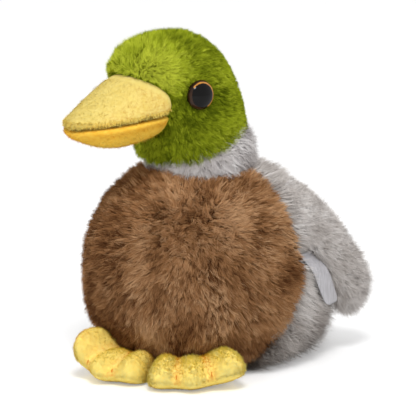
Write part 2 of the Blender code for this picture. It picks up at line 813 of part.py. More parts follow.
def make_tail():
    """The tail's cover, open where it is sewn to the back, and its stuffing."""
    place = Matrix.Translation(TAIL_PLACE) @ Matrix.Rotation(TAIL_RISE, 4, "X")
    inner = smooth(add_cutter("tail_inner", tail_cage("tail_inner")), -SHORT_PILE_WALL)
    limit = smooth(add_cutter("tail_body_limit", body_cage("tail_body_limit")), SEAM_GAP)
    cover = smooth(add_piece("tail_cover", tail_cage("tail_cover"), GREY_PILE))
    fill = add_piece("tail_stuffing", tail_cage("tail_stuffing"), STUFFING)
    smooth(fill, -SHORT_PILE_WALL - SEAM_GAP)
    boolean(cover, inner)
    for piece in (inner, cover, fill):
        piece.matrix_local = place
    for piece in (cover, fill):
        boolean(piece, limit)


def make_ribbon():
    """The blank satin ribbon, sewn into the left seam and hanging along the body under the wing."""

    def place(point):
        share = point.x / RIBBON_LENGTH
        seam = BODY_FRONT + BODY_LENGTH * BODY_SEAM_SHARE
        length = seam + RIBBON_START + point.x * math.sin(RIBBON_SLANT) + point.y
        angle = RIBBON_START_ANGLE - point.x * math.cos(RIBBON_SLANT) / WING_WRAP_RADIUS
        height = JOINT_GAP + RIBBON_LIFT * share * share + point.z
        return on_body(length, angle, height)

    start = (0, 0, 0)
    end = (RIBBON_LENGTH, RIBBON_WIDTH, RIBBON_THICKNESS)
    add_piece("side_ribbon", bent_mesh("side_ribbon", start, end, RIBBON_CUTS, place), SATIN)


def add_pivot(name, rotation):
    """An empty at the neck's centre, about which the neck or the head moves."""
    pivot = bpy.data.objects.new(name, None)
    DUCK.objects.link(pivot)
    pivot.location = NECK_PLACE
    pivot.rotation_euler = rotation
    return pivot


clear_scene()
DUCK = new_collection("plush_duck")
CUTTERS = new_collection("cutters")

BROWN_PILE = new_material("brown_pile", (0.19, 0.095, 0.045), 0.95)
GREY_PILE = new_material("grey_pile", (0.36, 0.34, 0.33), 0.95)
WHITE_PILE = new_material("white_pile", (0.62, 0.61, 0.63), 0.95)
GREEN_PILE = new_material("green_pile", (0.2, 0.33, 0.025), 0.95)
YELLOW_PILE = new_material("yellow_pile", (0.86, 0.62, 0.16), 0.9)
ORANGE_PILE = new_material("orange_pile", (0.86, 0.5, 0.09), 0.9)
LINING_CLOTH = new_material("lining_cloth", (0.3, 0.29, 0.28), 0.9)
STUFFING = new_material("stuffing", (0.85, 0.85, 0.83), 1.0)
BAG_CLOTH = new_material("bag_cloth", (0.7, 0.7, 0.68), 0.85)
EYE_PLASTIC = new_material("eye_plastic", (0.01, 0.008, 0.006), 0.08)
WASHER_PLASTIC = new_material("washer_plastic", (0.8, 0.8, 0.78), 0.45)
SATIN = new_material("satin_ribbon", (0.62, 0.62, 0.68), 0.35)

NECK_PIVOT = add_pivot("neck_pivot", (NECK_LEAN, 0, 0))
HEAD_PIVOT = add_pivot("head_pivot", (HEAD_PITCH, 0, HEAD_TURN))
FLOOR_CUT = floor_block()
SOCKET_CUT = socket("neck_socket")

make_body()
make_neck()
make_head()
BODY_OUTER = smooth(add_cutter("body_outer", body_cage("body_outer")))
bpy.context.view_layer.update()
BODY_SKIN = BVHTree.FromObject(BODY_OUTER, bpy.context.evaluated_depsgraph_get())
make_wings()
for body_side, side_name in ((1, "left"), (-1, "right")):
    make_foot(body_side, side_name)
make_tail()
make_ribbon()
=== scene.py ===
"""How the plush duck looks: long and short pile, glossy eyes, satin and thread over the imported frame."""

import math

import bmesh
import bpy
import numpy as np
from mathutils import Matrix, Vector, noise
from mathutils.bvhtree import BVHTree
from mathutils.kdtree import KDTree


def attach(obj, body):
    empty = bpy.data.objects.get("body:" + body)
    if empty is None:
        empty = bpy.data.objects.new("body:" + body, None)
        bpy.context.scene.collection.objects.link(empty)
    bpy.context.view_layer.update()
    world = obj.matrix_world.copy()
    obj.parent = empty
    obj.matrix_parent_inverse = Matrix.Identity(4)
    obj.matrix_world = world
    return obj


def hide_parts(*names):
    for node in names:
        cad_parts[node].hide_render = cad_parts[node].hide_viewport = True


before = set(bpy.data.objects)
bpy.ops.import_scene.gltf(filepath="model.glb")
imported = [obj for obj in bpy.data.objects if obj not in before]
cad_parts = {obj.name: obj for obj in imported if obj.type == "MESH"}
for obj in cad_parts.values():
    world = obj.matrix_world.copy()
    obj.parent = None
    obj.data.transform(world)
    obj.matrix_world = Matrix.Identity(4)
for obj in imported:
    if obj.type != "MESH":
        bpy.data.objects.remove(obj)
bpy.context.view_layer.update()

# Gaps and walls, in metres. A cover's wall is its cloth and its pile together.
SEAM_GAP = 0.0003
JOINT_GAP = 0.0008
LONG_PILE_WALL = 0.005
SHORT_PILE_WALL = 0.0024
OVERRUN = 0.2
HALF = 0.5
MERGE_WITHIN = 0.000004
FLAT_DEPTH = 0.0005

# A smooth skin lies inside of its cage, so a cage is drawn this much larger.
CAGE_SHARE = 1.045
SMOOTH_LEVELS = 1

# Body. Each station has its place along the length, then its half width, top and bottom.
BODY_LENGTH = 0.1425
BODY_FRONT = -0.0725
BODY_HALF_WIDTH = 0.055
BODY_HEIGHT = 0.1095
BODY_LIFT = 0.0004
BODY_AXIS_SHARE = 0.484
BODY_SEAM_SHARE = 0.4807
BODY_SIDES = 14
BELLY_SHARE = 0.6
# How far back the pieces laid on the body follow its skin. They run straight on from there.
FOLLOWED_SHARE = 0.975
BODY_SHARES = (
    (0.0, 0.0, 0.5, 0.5),
    (0.055, 0.5, 0.72, 0.23),
    (0.19, 0.85, 0.89, 0.025),
    (0.37, 1.0, 0.985, 0.0),
    (0.55, 0.98, 1.0, 0.0),
    (0.71, 0.86, 0.87, 0.0),
    (0.86, 0.64, 0.7, 0.03),
    (0.96, 0.35, 0.55, 0.15),
    (1.0, 0.0, 0.37, 0.37),
)

# Pellet bag, low in the body
BAG_LENGTH = 0.074
BAG_WIDTH = 0.066
BAG_HEIGHT = 0.044
BAG_PLACE_SHARE = 0.4316

# Neck ball, which the body and the head are hollowed out for
NECK_RADIUS = 0.0265
NECK_BACK_SHARE = 0.4175
NECK_HEIGHT_SHARE = 0.9863
NECK_PLACE = (0.0, BODY_FRONT + BODY_LENGTH * NECK_BACK_SHARE, BODY_HEIGHT * NECK_HEIGHT_SHARE)
NECK_LEAN = math.radians(15)
BAND_WALL = 0.0045
BAND_HALF_HEIGHT = 0.0155
BAND_POINTS = 6
BAND_BORE_SHARE = 0.6
NECK_BALL_POINTS = 10
NECK_STEPS = 24
SOCKET_SIDES = 22
SOCKET_RINGS = 12

# Head, measured from the neck's centre. Each station has its height, half width, reach ahead and reach
# behind.
HEAD_TURN = math.radians(-16)
HEAD_PITCH = math.radians(7)
HEAD_HEIGHT = 0.0672
HEAD_HALF_WIDTH = 0.03
HEAD_REACH = 0.049
HEAD_SIDES = 12
HEAD_SHARES = (
    (1.0, 0.0, 0.33, -0.33),
    (0.965, 0.42, 0.6, 0.0),
    (0.86, 0.78, 0.91, 0.2),
    (0.7, 0.95, 1.0, 0.38),
    (0.48, 1.0, 0.87, 0.46),
    (0.29, 0.98, 0.73, 0.52),
    (0.15, 0.93, 0.66, 0.53),
    (0.03, 0.87, 0.6, 0.5),
    (-0.1, 0.0, 0.05, -0.05),
)

# Beak. Each station has its place from base to tip, its half width and its height from the mouth line.
BEAK_BASE = 0.028
BEAK_LENGTH = 0.0542
BEAK_HALF_WIDTH = 0.0258
BEAK_MOUTH_HEIGHT = 0.0312
BEAK_LIP_SHARE = 0.16
BEAK_SIDES = 8
UPPER_BEAK_HEIGHT = 0.0245
UPPER_BEAK_POWER = 1.3
UPPER_BEAK_SHARES = (
    (0.0, 0.0, 0.5),
    (0.04, 0.97, 1.0),
    (0.24, 0.97, 0.97),
    (0.46, 0.88, 0.75),
    (0.66, 0.75, 0.5),
    (0.83, 0.55, 0.3),
    (0.95, 0.33, 0.17),
    (1.0, 0.0, 0.08),
)
LOWER_BEAK_DEPTH = 0.0156
LOWER_BEAK_POWER = 1.0
LOWER_BEAK_SHARES = (
    (0.0, 0.0, 0.5),
    (0.04, 0.8, 0.93),
    (0.3, 0.82, 1.0),
    (0.52, 0.8, 1.0),
    (0.7, 0.71, 0.82),
    (0.84, 0.54, 0.56),
    (0.95, 0.32, 0.34),
    (0.99, 0.0, 0.2),
)

# Eyes
EYE_RADIUS = 0.0075
EYE_DOME = 0.0042
EYE_RIM = 0.0011
EYE_PROUD = 0.003
EYE_AHEAD = math.radians(6)
EYE_UP = math.radians(3)
EYE_ORIGIN_AHEAD = 0.0155
EYE_ORIGIN_HEIGHT = 0.0368
SHANK_RADIUS = 0.0018
SHANK_LENGTH = 0.0125
SHANK_RIDGE = 0.0004
SHANK_RIDGE_PITCH = 0.0016
SHANK_RIDGES = 3
WASHER_RADIUS = 0.0062
WASHER_SEAT = 0.0004
WASHER_THICKNESS = 0.0009
WASHER_DISH = 0.0006
EYE_STEPS = 16
DOME_POINTS = 4

# Wings, wrapped round the body's side. Each station has its place along, its half width and its thickness.
WING_ROOT_SHARE = 0.5053
WING_REACH_SHARE = 0.4035
WING_ROOT = BODY_FRONT + BODY_LENGTH * WING_ROOT_SHARE
WING_REACH = BODY_LENGTH * WING_REACH_SHARE
WING_HALF_WIDTH = 0.0172
WING_THICKNESS = 0.0088
WING_INNER_SHARE = 0.24
WING_ROOT_ANGLE = math.radians(34)
WING_SWEEP = math.radians(53)
WING_FLARE = 0.0205
WING_FLARE_POWER = 2.7
WING_SEAT_SHARE = 0.8
WING_WRAP_SHARE = 0.909
WING_WRAP_RADIUS = BODY_HALF_WIDTH * WING_WRAP_SHARE
WING_SIDES = 10
WING_LINING_WALL = 0.0016
WING_OUTER_WALL = 0.0032
WING_FILL_START = 0.16
WING_CUT_SHARE = 1.15
WING_HINGE_SHARE = 0.3
WING_CUTS = (8, 4)
WING_FLOOR_RISE = 0.0009
WING_ROOM_REACH = 0.0006
WING_BODY_GAP = 0.0006
WING_SHARES = (
    (0.0, 0.0, 0.2),
    (0.015, 0.8, 0.42),
    (0.22, 0.97, 0.72),
    (0.48, 1.0, 1.0),
    (0.74, 0.92, 0.98),
    (0.93, 0.6, 0.72),
    (1.0, 0.0, 0.25),
)

# Feet. Each station runs across the foot: its place, its reach ahead, its start and its height.
FOOT_LENGTH = 0.0505
FOOT_HALF_WIDTH = 0.0272
FOOT_HEIGHT = 0.0172
FOOT_PLACE_SHARES = (0.2273, 0.2035)
FOOT_ROOT = (BODY_HALF_WIDTH * FOOT_PLACE_SHARES[0], BODY_FRONT + BODY_LENGTH * FOOT_PLACE_SHARES[1])
FOOT_TURNS = {"left": math.radians(36), "right": math.radians(1)}
FOOT_LIFTS = {"left": 0.0075, "right": 0.0125}
FOOT_SWELLS = {"left": 0.0, "right": 0.5}
FOOT_OUTER_SHARES = {"left": 1.26, "right": 0.86}
FOOT_FAN_SHARE = 0.42
FOOT_HINGE_HEIGHT = 0.0022
FOOT_SEAM_HEIGHT = 0.0048
FOOT_SIDES = 8
FOOT_SOLE_WALL = 0.0016
FOOT_FILL_START = 0.2
FOOT_CUT_SHARE = 1.2
FOOT_CUTS = (7, 0)
FOOT_RAMP_SHARE = 0.22
FOOT_ROOT_SHARE = 0.17
FOOT_SHARES = (
    (-1.0, 0.55, 0.55, 0.5),
    (-0.9, 0.76, 0.14, 0.8),
    (-0.62, 0.88, 0.06, 1.0),
    (-0.31, 0.84, 0.0, 0.82),
    (0.0, 1.0, 0.0, 1.0),
    (0.31, 0.84, 0.0, 0.82),
    (0.62, 0.88, 0.06, 1.0),
    (0.9, 0.76, 0.14, 0.8),
    (1.0, 0.55, 0.55, 0.5),
)

# Tail. Each station has its place along, its half width and its half thickness.
TAIL_LENGTH = 0.036
TAIL_HALF_WIDTH = 0.0135
TAIL_HALF_THICKNESS = 0.0062
TAIL_PLACE_SHARES = (0.8807, 0.4822)
TAIL_PLACE = (0.0, BODY_FRONT + BODY_LENGTH * TAIL_PLACE_SHARES[0], BODY_HEIGHT * TAIL_PLACE_SHARES[1])
TAIL_RISE = math.radians(22)
TAIL_SIDES = 8
TAIL_SHARES = (
    (0.0, 0.0, 0.0),
    (0.05, 0.8, 0.9),
    (0.45, 1.0, 1.0),
    (0.82, 0.66, 0.72),
    (1.0, 0.0, 0.0),
)

# Side ribbon, sewn into the left seam and lying along the body under the wing
RIBBON_LENGTH = 0.031
RIBBON_WIDTH = 0.0145
RIBBON_THICKNESS = 0.0006
RIBBON_START = 0.0012
RIBBON_START_ANGLE = math.radians(7)
RIBBON_SLANT = math.radians(38)
RIBBON_LIFT = 0.0055
RIBBON_CUTS = (8, 2)

# The skins lie a little inside of the CAD covers, and the pile stands out past them.
PILE_INSET = 0.001
HEAD_INSET = 0.002
NAP_INSET = 0.0006
CLOSED_LIP_SHARE = 0.05
LIP_HEIGHT = 0.0062
LIP_WIDENING = 0.08
FLOOR_GAP = 0.0002
MAP_WIDTH = 0.002
MAP_MARGIN = 0.02
TOE_VALLEY = 0.31
FOOT_TONES = {"left": 0.06, "right": 0.0}
VALLEY_BACK = 0.07
VALLEY_DIP = 0.2
FOOT_DROPS = {"left": 0.002, "right": 0.006}
FOOT_SWELL = 0.0005
STITCH_SPANS = {"left": (0.795, 0.82), "right": (0.8, 0.83)}
STITCH_POINTS = 5
STITCH_PROUD = 0.0011
THREAD_RADIUS = 0.0003
EYE_POINTS = 40
EYE_SIDES = 64
PUPIL_SHARE = 0.81
PUPIL_AHEAD = 0.07
RING_SHARE = 0.9
RING_AHEAD = 0.03
SKIN_INSET = 0.0002
RIBBON_PROUD = 0.003
BREAST_CENTRE = (0.0248, -0.0514, 0.0837)
SCREEN_RIGHT = (0.848, 0.53, 0.0)
RIBBON_TILT = 0.0035
RIBBON_CORNER = 0.004
RIBBON_NARROW = 0.4

BASE_STYLE = {
    "steps": 2, "ruffle": 0.35, "shine": -0.1, "lift": 0.0, "length_spread": 0.14, "lean": 0.6, "lean_spread": 0.16,
    "droop": 0.25, "swirl": 0.5, "swirl_size": 0.012, "stray": 0.16, "tuft": 26, "part": 0.25, "gather": 0.4,
    "patchy": 0.14, "width": 0.0004, "twist": 0.35, "tuft_shade": 0.3, "own_shade": 0.3, "patch_shade": 0.3,
    "patch_size": 0.02,
}
BROWN_STYLE = BASE_STYLE | {
    "count": 162000, "length": 0.0058, "lean": 0.62, "part": 0.3, "swirl": 0.8, "tuft": 18, "tuft_shade": 0.46,
    "patch_shade": 0.75, "patch_size": 0.016, "width": 0.00034, "own_shade": 0.4,
}
GREY_STYLE = BASE_STYLE | {"width": 0.0003, "tuft": 14, "gather": 0.28, "own_shade": 0.4, "stray": 0.24,
                           "patch_shade": 0.5, "patch_size": 0.011, "length_spread": 0.24}
BACK_STYLE = GREY_STYLE | {"count": 130000, "length": 0.0085, "lean": 0.7, "droop": 0.35}
WING_STYLE = GREY_STYLE | {
    "count": 80000, "length": 0.0095, "lean": 0.88, "droop": 0.3, "swirl": 0.7, "swirl_size": 0.009, "gather": 0.45,
    "part": 0.45, "stray": 0.32, "tuft": 22, "tuft_shade": 0.42,
}
TAIL_STYLE = BASE_STYLE | {"count": 12000, "length": 0.007, "lean": 0.8}
BAND_STYLE = GREY_STYLE | {"count": 60000, "length": 0.0056, "lean": 0.7, "own_shade": 0.25, "width": 0.00024}
GREEN_STYLE = BASE_STYLE | {
    "count": 100000, "length": 0.0046, "lean": 0.6, "swirl": 0.85, "swirl_size": 0.008, "tuft": 20, "stray": 0.22,
    "width": 0.0003, "patch_shade": 0.4, "patch_size": 0.012, "tuft_shade": 0.42, "own_shade": 0.4, "gather": 0.45,
}
NAP_STYLE = BASE_STYLE | {
    "steps": 1, "ruffle": 0.15, "length": 0.0011, "lean": 1.15, "lean_spread": 0.12, "droop": 0.05, "swirl": 0.5,
    "swirl_size": 0.006, "tuft": 6, "width": 0.00018, "gather": 0.1, "part": 0.1, "twist": 0.25,
    "tuft_shade": 0.08, "own_shade": 0.16, "patch_shade": 0.14,
}
BEAK_STYLE = NAP_STYLE | {"count": 100000, "length": 0.0013}
LOWER_STYLE = NAP_STYLE | {"count": 70000, "length": 0.0013}
LIP_STYLE = NAP_STYLE | {
    "steps": 2, "count": 60000, "length": 0.0024, "lean": 0.7, "lift": 1.2, "lean_spread": 0.25, "droop": 0.2, "stray": 0.3,
    "swirl": 0.6, "tuft": 8, "gather": 0.25, "width": 0.0002,
}
FUZZ_STYLE = NAP_STYLE | {
    "steps": 2, "count": 9000, "length": 0.002, "lean": 0.9, "lean_spread": 0.3, "stray": 0.4, "width": 0.00014,
}
SOLE_STYLE = NAP_STYLE | {"count": 20000}
LINING_STYLE = BASE_STYLE | {"count": 24000, "length": 0.0055, "lean": 0.8}
FOOT_STYLES = {
    "left": NAP_STYLE | {
        "steps": 2, "count": 60000, "length": 0.0021, "lean": 1.0, "lean_spread": 0.25, "gather": 0.15, "tuft": 10,
        "part": 0.25, "swirl": 0.6, "stray": 0.35, "width": 0.00016,
    },
    "right": NAP_STYLE | {
        "steps": 2, "count": 60000, "length": 0.0016, "lean": 1.1, "lean_spread": 0.2, "stray": 0.25, "width": 0.00016,
    },
}
LAYERS = 2


def srgb(*levels):
    """A linear colour from 0 to 255 levels."""
    return tuple((level / 255 / 12.92) if level < 10 else ((level / 255 + 0.055) / 1.055) ** 2.4 for level in levels)


def ring_cage(name, sides, stations, place):
    """A UV sphere with a ring of points at each station. place puts a point by its station and angle."""
    cage = bmesh.new()
    rows = len(stations) - 1
    bmesh.ops.create_uvsphere(cage, u_segments=sides, v_segments=rows, radius=1)
    for point in cage.verts:
        height = max(-1.0, min(1.0, point.co.z))
        row = round(rows * math.acos(height) / math.pi)
        point.co = place(stations[row], math.atan2(point.co.y, point.co.x))
    return mesh_from(cage, name)


def bent_mesh(name, low, high, cuts, place):
    """A box between two corners, divided along X and Y and bent by place."""
    shape = bmesh.new()
    bmesh.ops.create_cube(shape, size=1)
    for axis, count in enumerate(cuts):
        along = [e for e in shape.edges if abs(e.verts[0].co[axis] - e.verts[1].co[axis]) > HALF]
        bmesh.ops.subdivide_edges(shape, edges=along, cuts=count, use_grid_fill=True)
    for point in shape.verts:
        shares = [HALF + side for side in point.co]
        point.co = place(Vector([a + (b - a) * share for a, b, share in zip(low, high, shares)]))
    return mesh_from(shape, name)


def smoothstep(share):
    """0 below 0, 1 above 1, and an even rise between."""
    share = max(0.0, min(1.0, share))
    return share * share * (3 - 2 * share)


def body_cage(name):
    """The egg-shaped body, wider in front, with a flatter belly."""

    def place(station, angle):
        along, half_width, top, bottom = station
        middle = (top + bottom) / 2
        half = (top - bottom) / 2 * CAGE_SHARE
        rise = math.sin(angle)
        if rise < 0:
            rise = -((-rise) ** BELLY_SHARE)
        middle_length = BODY_FRONT + BODY_LENGTH / 2
        return (
            BODY_HALF_WIDTH * half_width * CAGE_SHARE * math.cos(angle),
            middle_length + (along - HALF) * BODY_LENGTH * CAGE_SHARE,
            BODY_HEIGHT * (middle + half * rise) + BODY_LIFT,
        )

    return ring_cage(name, BODY_SIDES, BODY_SHARES, place)


def head_cage(name):
    """The head: a full ball that narrows to the neck and reaches forward over the beak."""

    def place(station, angle):
        height, half_width, ahead, behind = station
        middle = (ahead - behind) / 2
        half = (ahead + behind) / 2 * CAGE_SHARE
        return (
            HEAD_HALF_WIDTH * half_width * CAGE_SHARE * math.cos(angle),
            -HEAD_REACH * (middle + half * math.sin(angle)),
            HEAD_HEIGHT * height,
        )

    return ring_cage(name, HEAD_SIDES, HEAD_SHARES, place)


def beak_cage(name, stations, depth, power, lip_share=BEAK_LIP_SHARE):
    """Half a beak: a dome on the mouth line, or hung under it where depth is below zero.

    A higher power makes it narrower towards its ridge."""
    lip = lip_share * depth
    half_gap = math.copysign(SEAM_GAP / 2, depth)

    def place(station, angle):
        along, half_width, height = station
        rise = math.sin(angle)
        if half_width == 0:
            reach = height * depth
        elif rise < 0:
            reach = lip * (1 + rise)
        else:
            reach = lip + (height * depth * CAGE_SHARE - lip) * rise**power
        return (
            BEAK_HALF_WIDTH * half_width * CAGE_SHARE * math.cos(angle),
            -BEAK_BASE - BEAK_LENGTH * along,
            BEAK_MOUTH_HEIGHT + half_gap + reach,
        )

    return ring_cage(name, BEAK_SIDES, stations, place)


def eye_axis(side):
    """The way an eye faces, in the head's own axes."""
    level = math.cos(EYE_UP)
    return Vector((side * level * math.cos(EYE_AHEAD), -level * math.sin(EYE_AHEAD), math.sin(EYE_UP)))


def on_body(length, angle, height):
    """A point at a height above the body's skin. angle is counted up from the left side."""
    followed = min(length, BODY_FRONT + BODY_LENGTH * FOLLOWED_SHARE)
    beyond = Vector((0, length - followed, 0))
    origin = Vector((0, followed, BODY_HEIGHT * BODY_AXIS_SHARE))
    ray = Vector((math.cos(angle), 0, math.sin(angle)))
    return BODY_SKIN.ray_cast(origin, ray)[0] + beyond + ray * height


def on_wing(point):
    """Wraps a point of the flat left wing round the body. X runs to the tip, and Z is outwards."""
    along = point.x / WING_REACH
    middle = WING_ROOT_ANGLE - WING_SWEEP * smoothstep(along)
    angle = middle + point.y / WING_WRAP_RADIUS
    rest = JOINT_GAP + WING_THICKNESS * WING_INNER_SHARE * WING_SEAT_SHARE
    flare = WING_FLARE * max(0.0, along) ** WING_FLARE_POWER
    return on_body(WING_ROOT + point.x, angle, rest + flare + point.z)


def wing_cage(name):
    """The left wing: a leaf with a flatter inner side."""

    def place(station, angle):
        along, half_width, thickness = station
        across = WING_HALF_WIDTH * half_width * CAGE_SHARE * math.cos(angle)
        share = 1.0 if math.sin(angle) > 0 else WING_INNER_SHARE
        height = WING_THICKNESS * thickness * share * math.sin(angle)
        return on_wing(Vector((WING_REACH * along, across, height)))

    return ring_cage(name, WING_SIDES, WING_SHARES, place)


def foot_cage(name, spot, inset=0.0):
    """A foot: three toes side by side on a thin root. -Y is ahead. An inset gives the room inside."""
    first = FOOT_FILL_START if inset else 0.0
    narrow = inset / FOOT_HALF_WIDTH
    short = inset / FOOT_LENGTH

    def place(station, angle):
        across, reach, start, height = station
        start = max(start, first) + short
        reach = max(reach - short, start + short)
        swell = CAGE_SHARE * math.cos(angle)
        ahead = (reach + start) / 2 + (reach - start) / 2 * swell
        fan = FOOT_FAN_SHARE + (1 - FOOT_FAN_SHARE) * ahead
        ramp = FOOT_ROOT_SHARE + (1 - FOOT_ROOT_SHARE) * smoothstep(ahead / FOOT_RAMP_SHARE)
        half_height = FOOT_HEIGHT * height * ramp / 2
        rise = max(half_height - inset, 0.0) * math.sin(angle) * CAGE_SHARE
        flat = Vector((
            FOOT_HALF_WIDTH * across * (1 - narrow) * fan,
            -FOOT_LENGTH * ahead,
            half_height + rise - FLAT_DEPTH,
        ))
        return spot(flat)

    return ring_cage(name, FOOT_SIDES, FOOT_SHARES, place)


def tail_cage(name):
    """The short pointed tail."""

    def place(station, angle):
        along, half_width, thickness = station
        return (
            TAIL_HALF_WIDTH * half_width * math.cos(angle),
            TAIL_LENGTH * along,
            TAIL_HALF_THICKNESS * thickness * math.sin(angle),
        )

    return ring_cage(name, TAIL_SIDES, TAIL_SHARES, place)


def mesh_from(shape, name):
    """A mesh datablock from a bmesh, which is freed."""
    shape.normal_update()
    bmesh.ops.recalc_face_normals(shape, faces=shape.faces)
    mesh = bpy.data.meshes.new(name)
    shape.to_mesh(mesh)
    shape.free()
    mesh.shade_smooth()
    return mesh


def rounded(mesh, levels, offset=0.0):
    """The smooth mesh of a cage, moved out by offset."""
    piece = bpy.data.objects.new("cage", mesh)
    bpy.context.scene.collection.objects.link(piece)
    smooth = piece.modifiers.new("smooth", "SUBSURF")
    smooth.levels = levels
    smooth.render_levels = levels
    if offset:
        moved = piece.modifiers.new("offset", "DISPLACE")
        moved.mid_level = 0.0
        moved.strength = offset
    return finished(piece)


def finished(piece):
    """A temporary object's mesh with its modifiers carried out. The object goes."""
    bpy.context.view_layer.update()
    graph = bpy.context.evaluated_depsgraph_get()
    mesh = bpy.data.meshes.new_from_object(piece.evaluated_get(graph))
    bpy.data.objects.remove(piece, do_unlink=True)
    mesh.shade_smooth()
    return mesh


def cut(mesh, *cutters):
    """A mesh less each of the cutters' meshes."""
    scene = bpy.context.scene.collection
    piece = bpy.data.objects.new("cut", mesh)
    scene.objects.link(piece)
    helpers = []
    for other in cutters:
        helper = bpy.data.objects.new("cutter", other)
        scene.objects.link(helper)
        helpers.append(helper)
        step = piece.modifiers.new("cut", "BOOLEAN")
        step.operation = "DIFFERENCE"
        step.solver = "EXACT"
        step.object = helper
    result = finished(piece)
    for helper in helpers:
        bpy.data.objects.remove(helper, do_unlink=True)
    return result


def block(low, high):
    """A box's mesh between two corners."""
    shape = bmesh.new()
    bmesh.ops.create_cube(shape, size=1)
    bmesh.ops.scale(shape, vec=[b - a for a, b in zip(low, high)], verts=shape.verts)
    bmesh.ops.translate(shape, vec=[(a + b) / 2 for a, b in zip(low, high)], verts=shape.verts)
    return mesh_from(shape, "block")


def ball(radius, place, sides, rings):
    """A ball's mesh."""
    shape = bmesh.new()
    bmesh.ops.create_uvsphere(shape, u_segments=sides, v_segments=rings, radius=radius)
    bmesh.ops.translate(shape, vec=place, verts=shape.verts)
    return mesh_from(shape, "ball")


def tree_of(mesh):
    """A search tree of a mesh's faces."""
    points = [vertex.co for vertex in mesh.vertices]
    return BVHTree.FromPolygons(points, [tuple(face.vertices) for face in mesh.polygons])


def read(items, name, kind, columns):
    """A property of mesh elements as an array."""
    values = np.empty(len(items) * columns, kind)
    items.foreach_get(name, values)
    return values.reshape(-1, columns)


def unit(vectors):
    """Vectors made one long."""
    return vectors / np.maximum(np.linalg.norm(vectors, axis=1, keepdims=True), 1e-12)


def scatter(mesh, count, rng):
    """Random points on a mesh and the mesh's normals there."""
    mesh.calc_loop_triangles()
    points = read(mesh.vertices, "co", np.float32, 3).astype(float)
    normals = read(mesh.vertices, "normal", np.float32, 3).astype(float)
    corners = read(mesh.loop_triangles, "vertices", np.int32, 3)
    a, b, c = (points[corners[:, i]] for i in range(3))
    area = np.linalg.norm(np.cross(b - a, c - a), axis=1)
    picked = rng.choice(len(area), count, p=area / area.sum())
    near, share = np.sqrt(rng.random(count)), rng.random(count)
    parts = np.stack([1 - near, near * (1 - share), near * share], 1)[:, :, None]
    chosen = corners[picked]
    return (points[chosen] * parts).sum(1), unit((normals[chosen] * parts).sum(1))


def drift(points, size, seed):
    """Smooth noise vectors whose swirls are about size across."""
    shift = Vector((seed * 7.31, seed * 3.17, seed * 1.93))
    return np.array([noise.noise_vector(Vector(p) / size + shift) for p in points])


def flakes(name, paths, sides, widths, shades, facing):
    """A mesh of flat tapered strands. paths has each strand's points, and sides the way each is wide.

    facing is the normal that each strand is lit by."""
    count, steps = paths.shape[0], paths.shape[1] - 1
    rows = np.empty((count, 2 * steps + 1, 3))
    for k in range(steps):
        reach = sides * (widths * (1 - 0.75 * k / steps) / 2)[:, None]
        rows[:, 2 * k] = paths[:, k] - reach
        rows[:, 2 * k + 1] = paths[:, k] + reach
    rows[:, -1] = paths[:, -1]
    faces, places = [], []
    for k in range(steps - 1):
        left, right = 2 * k, 2 * k + 1
        faces += [(left, right, right + 2), (left, right + 2, left + 2)]
        places += [((0, k), (1, k), (1, k + 1)), ((0, k), (1, k + 1), (0, k + 1))]
    faces.append((2 * steps - 2, 2 * steps - 1, 2 * steps))
    places.append(((0, steps - 1), (1, steps - 1), (0.5, steps)))
    faces = np.array(faces)
    places = np.array(places, float)
    index = (np.arange(count)[:, None, None] * (2 * steps + 1) + faces[None]).reshape(-1)
    across = shades[:, None, None] + (places[None, :, :, 0] - 0.5) * MAP_WIDTH
    along = np.broadcast_to(MAP_MARGIN + (1 - 2 * MAP_MARGIN) * places[None, :, :, 1] / steps, across.shape)
    mesh = bpy.data.meshes.new(name)
    mesh.vertices.add(count * (2 * steps + 1))
    mesh.vertices.foreach_set("co", rows.astype(np.float32).ravel())
    mesh.loops.add(len(index))
    mesh.loops.foreach_set("vertex_index", index.astype(np.int32))
    mesh.polygons.add(len(index) // 3)
    mesh.polygons.foreach_set("loop_start", np.arange(0, len(index), 3, dtype=np.int32))
    mesh.update(calc_edges=True)
    uv = mesh.uv_layers.new(name="OFBake")
    uv.uv.foreach_set("vector", np.stack([across, along], -1).astype(np.float32).ravel())
    mesh.shade_smooth()
    mesh.normals_split_custom_set_from_vertices(np.repeat(facing, 2 * steps + 1, axis=0))
    return mesh


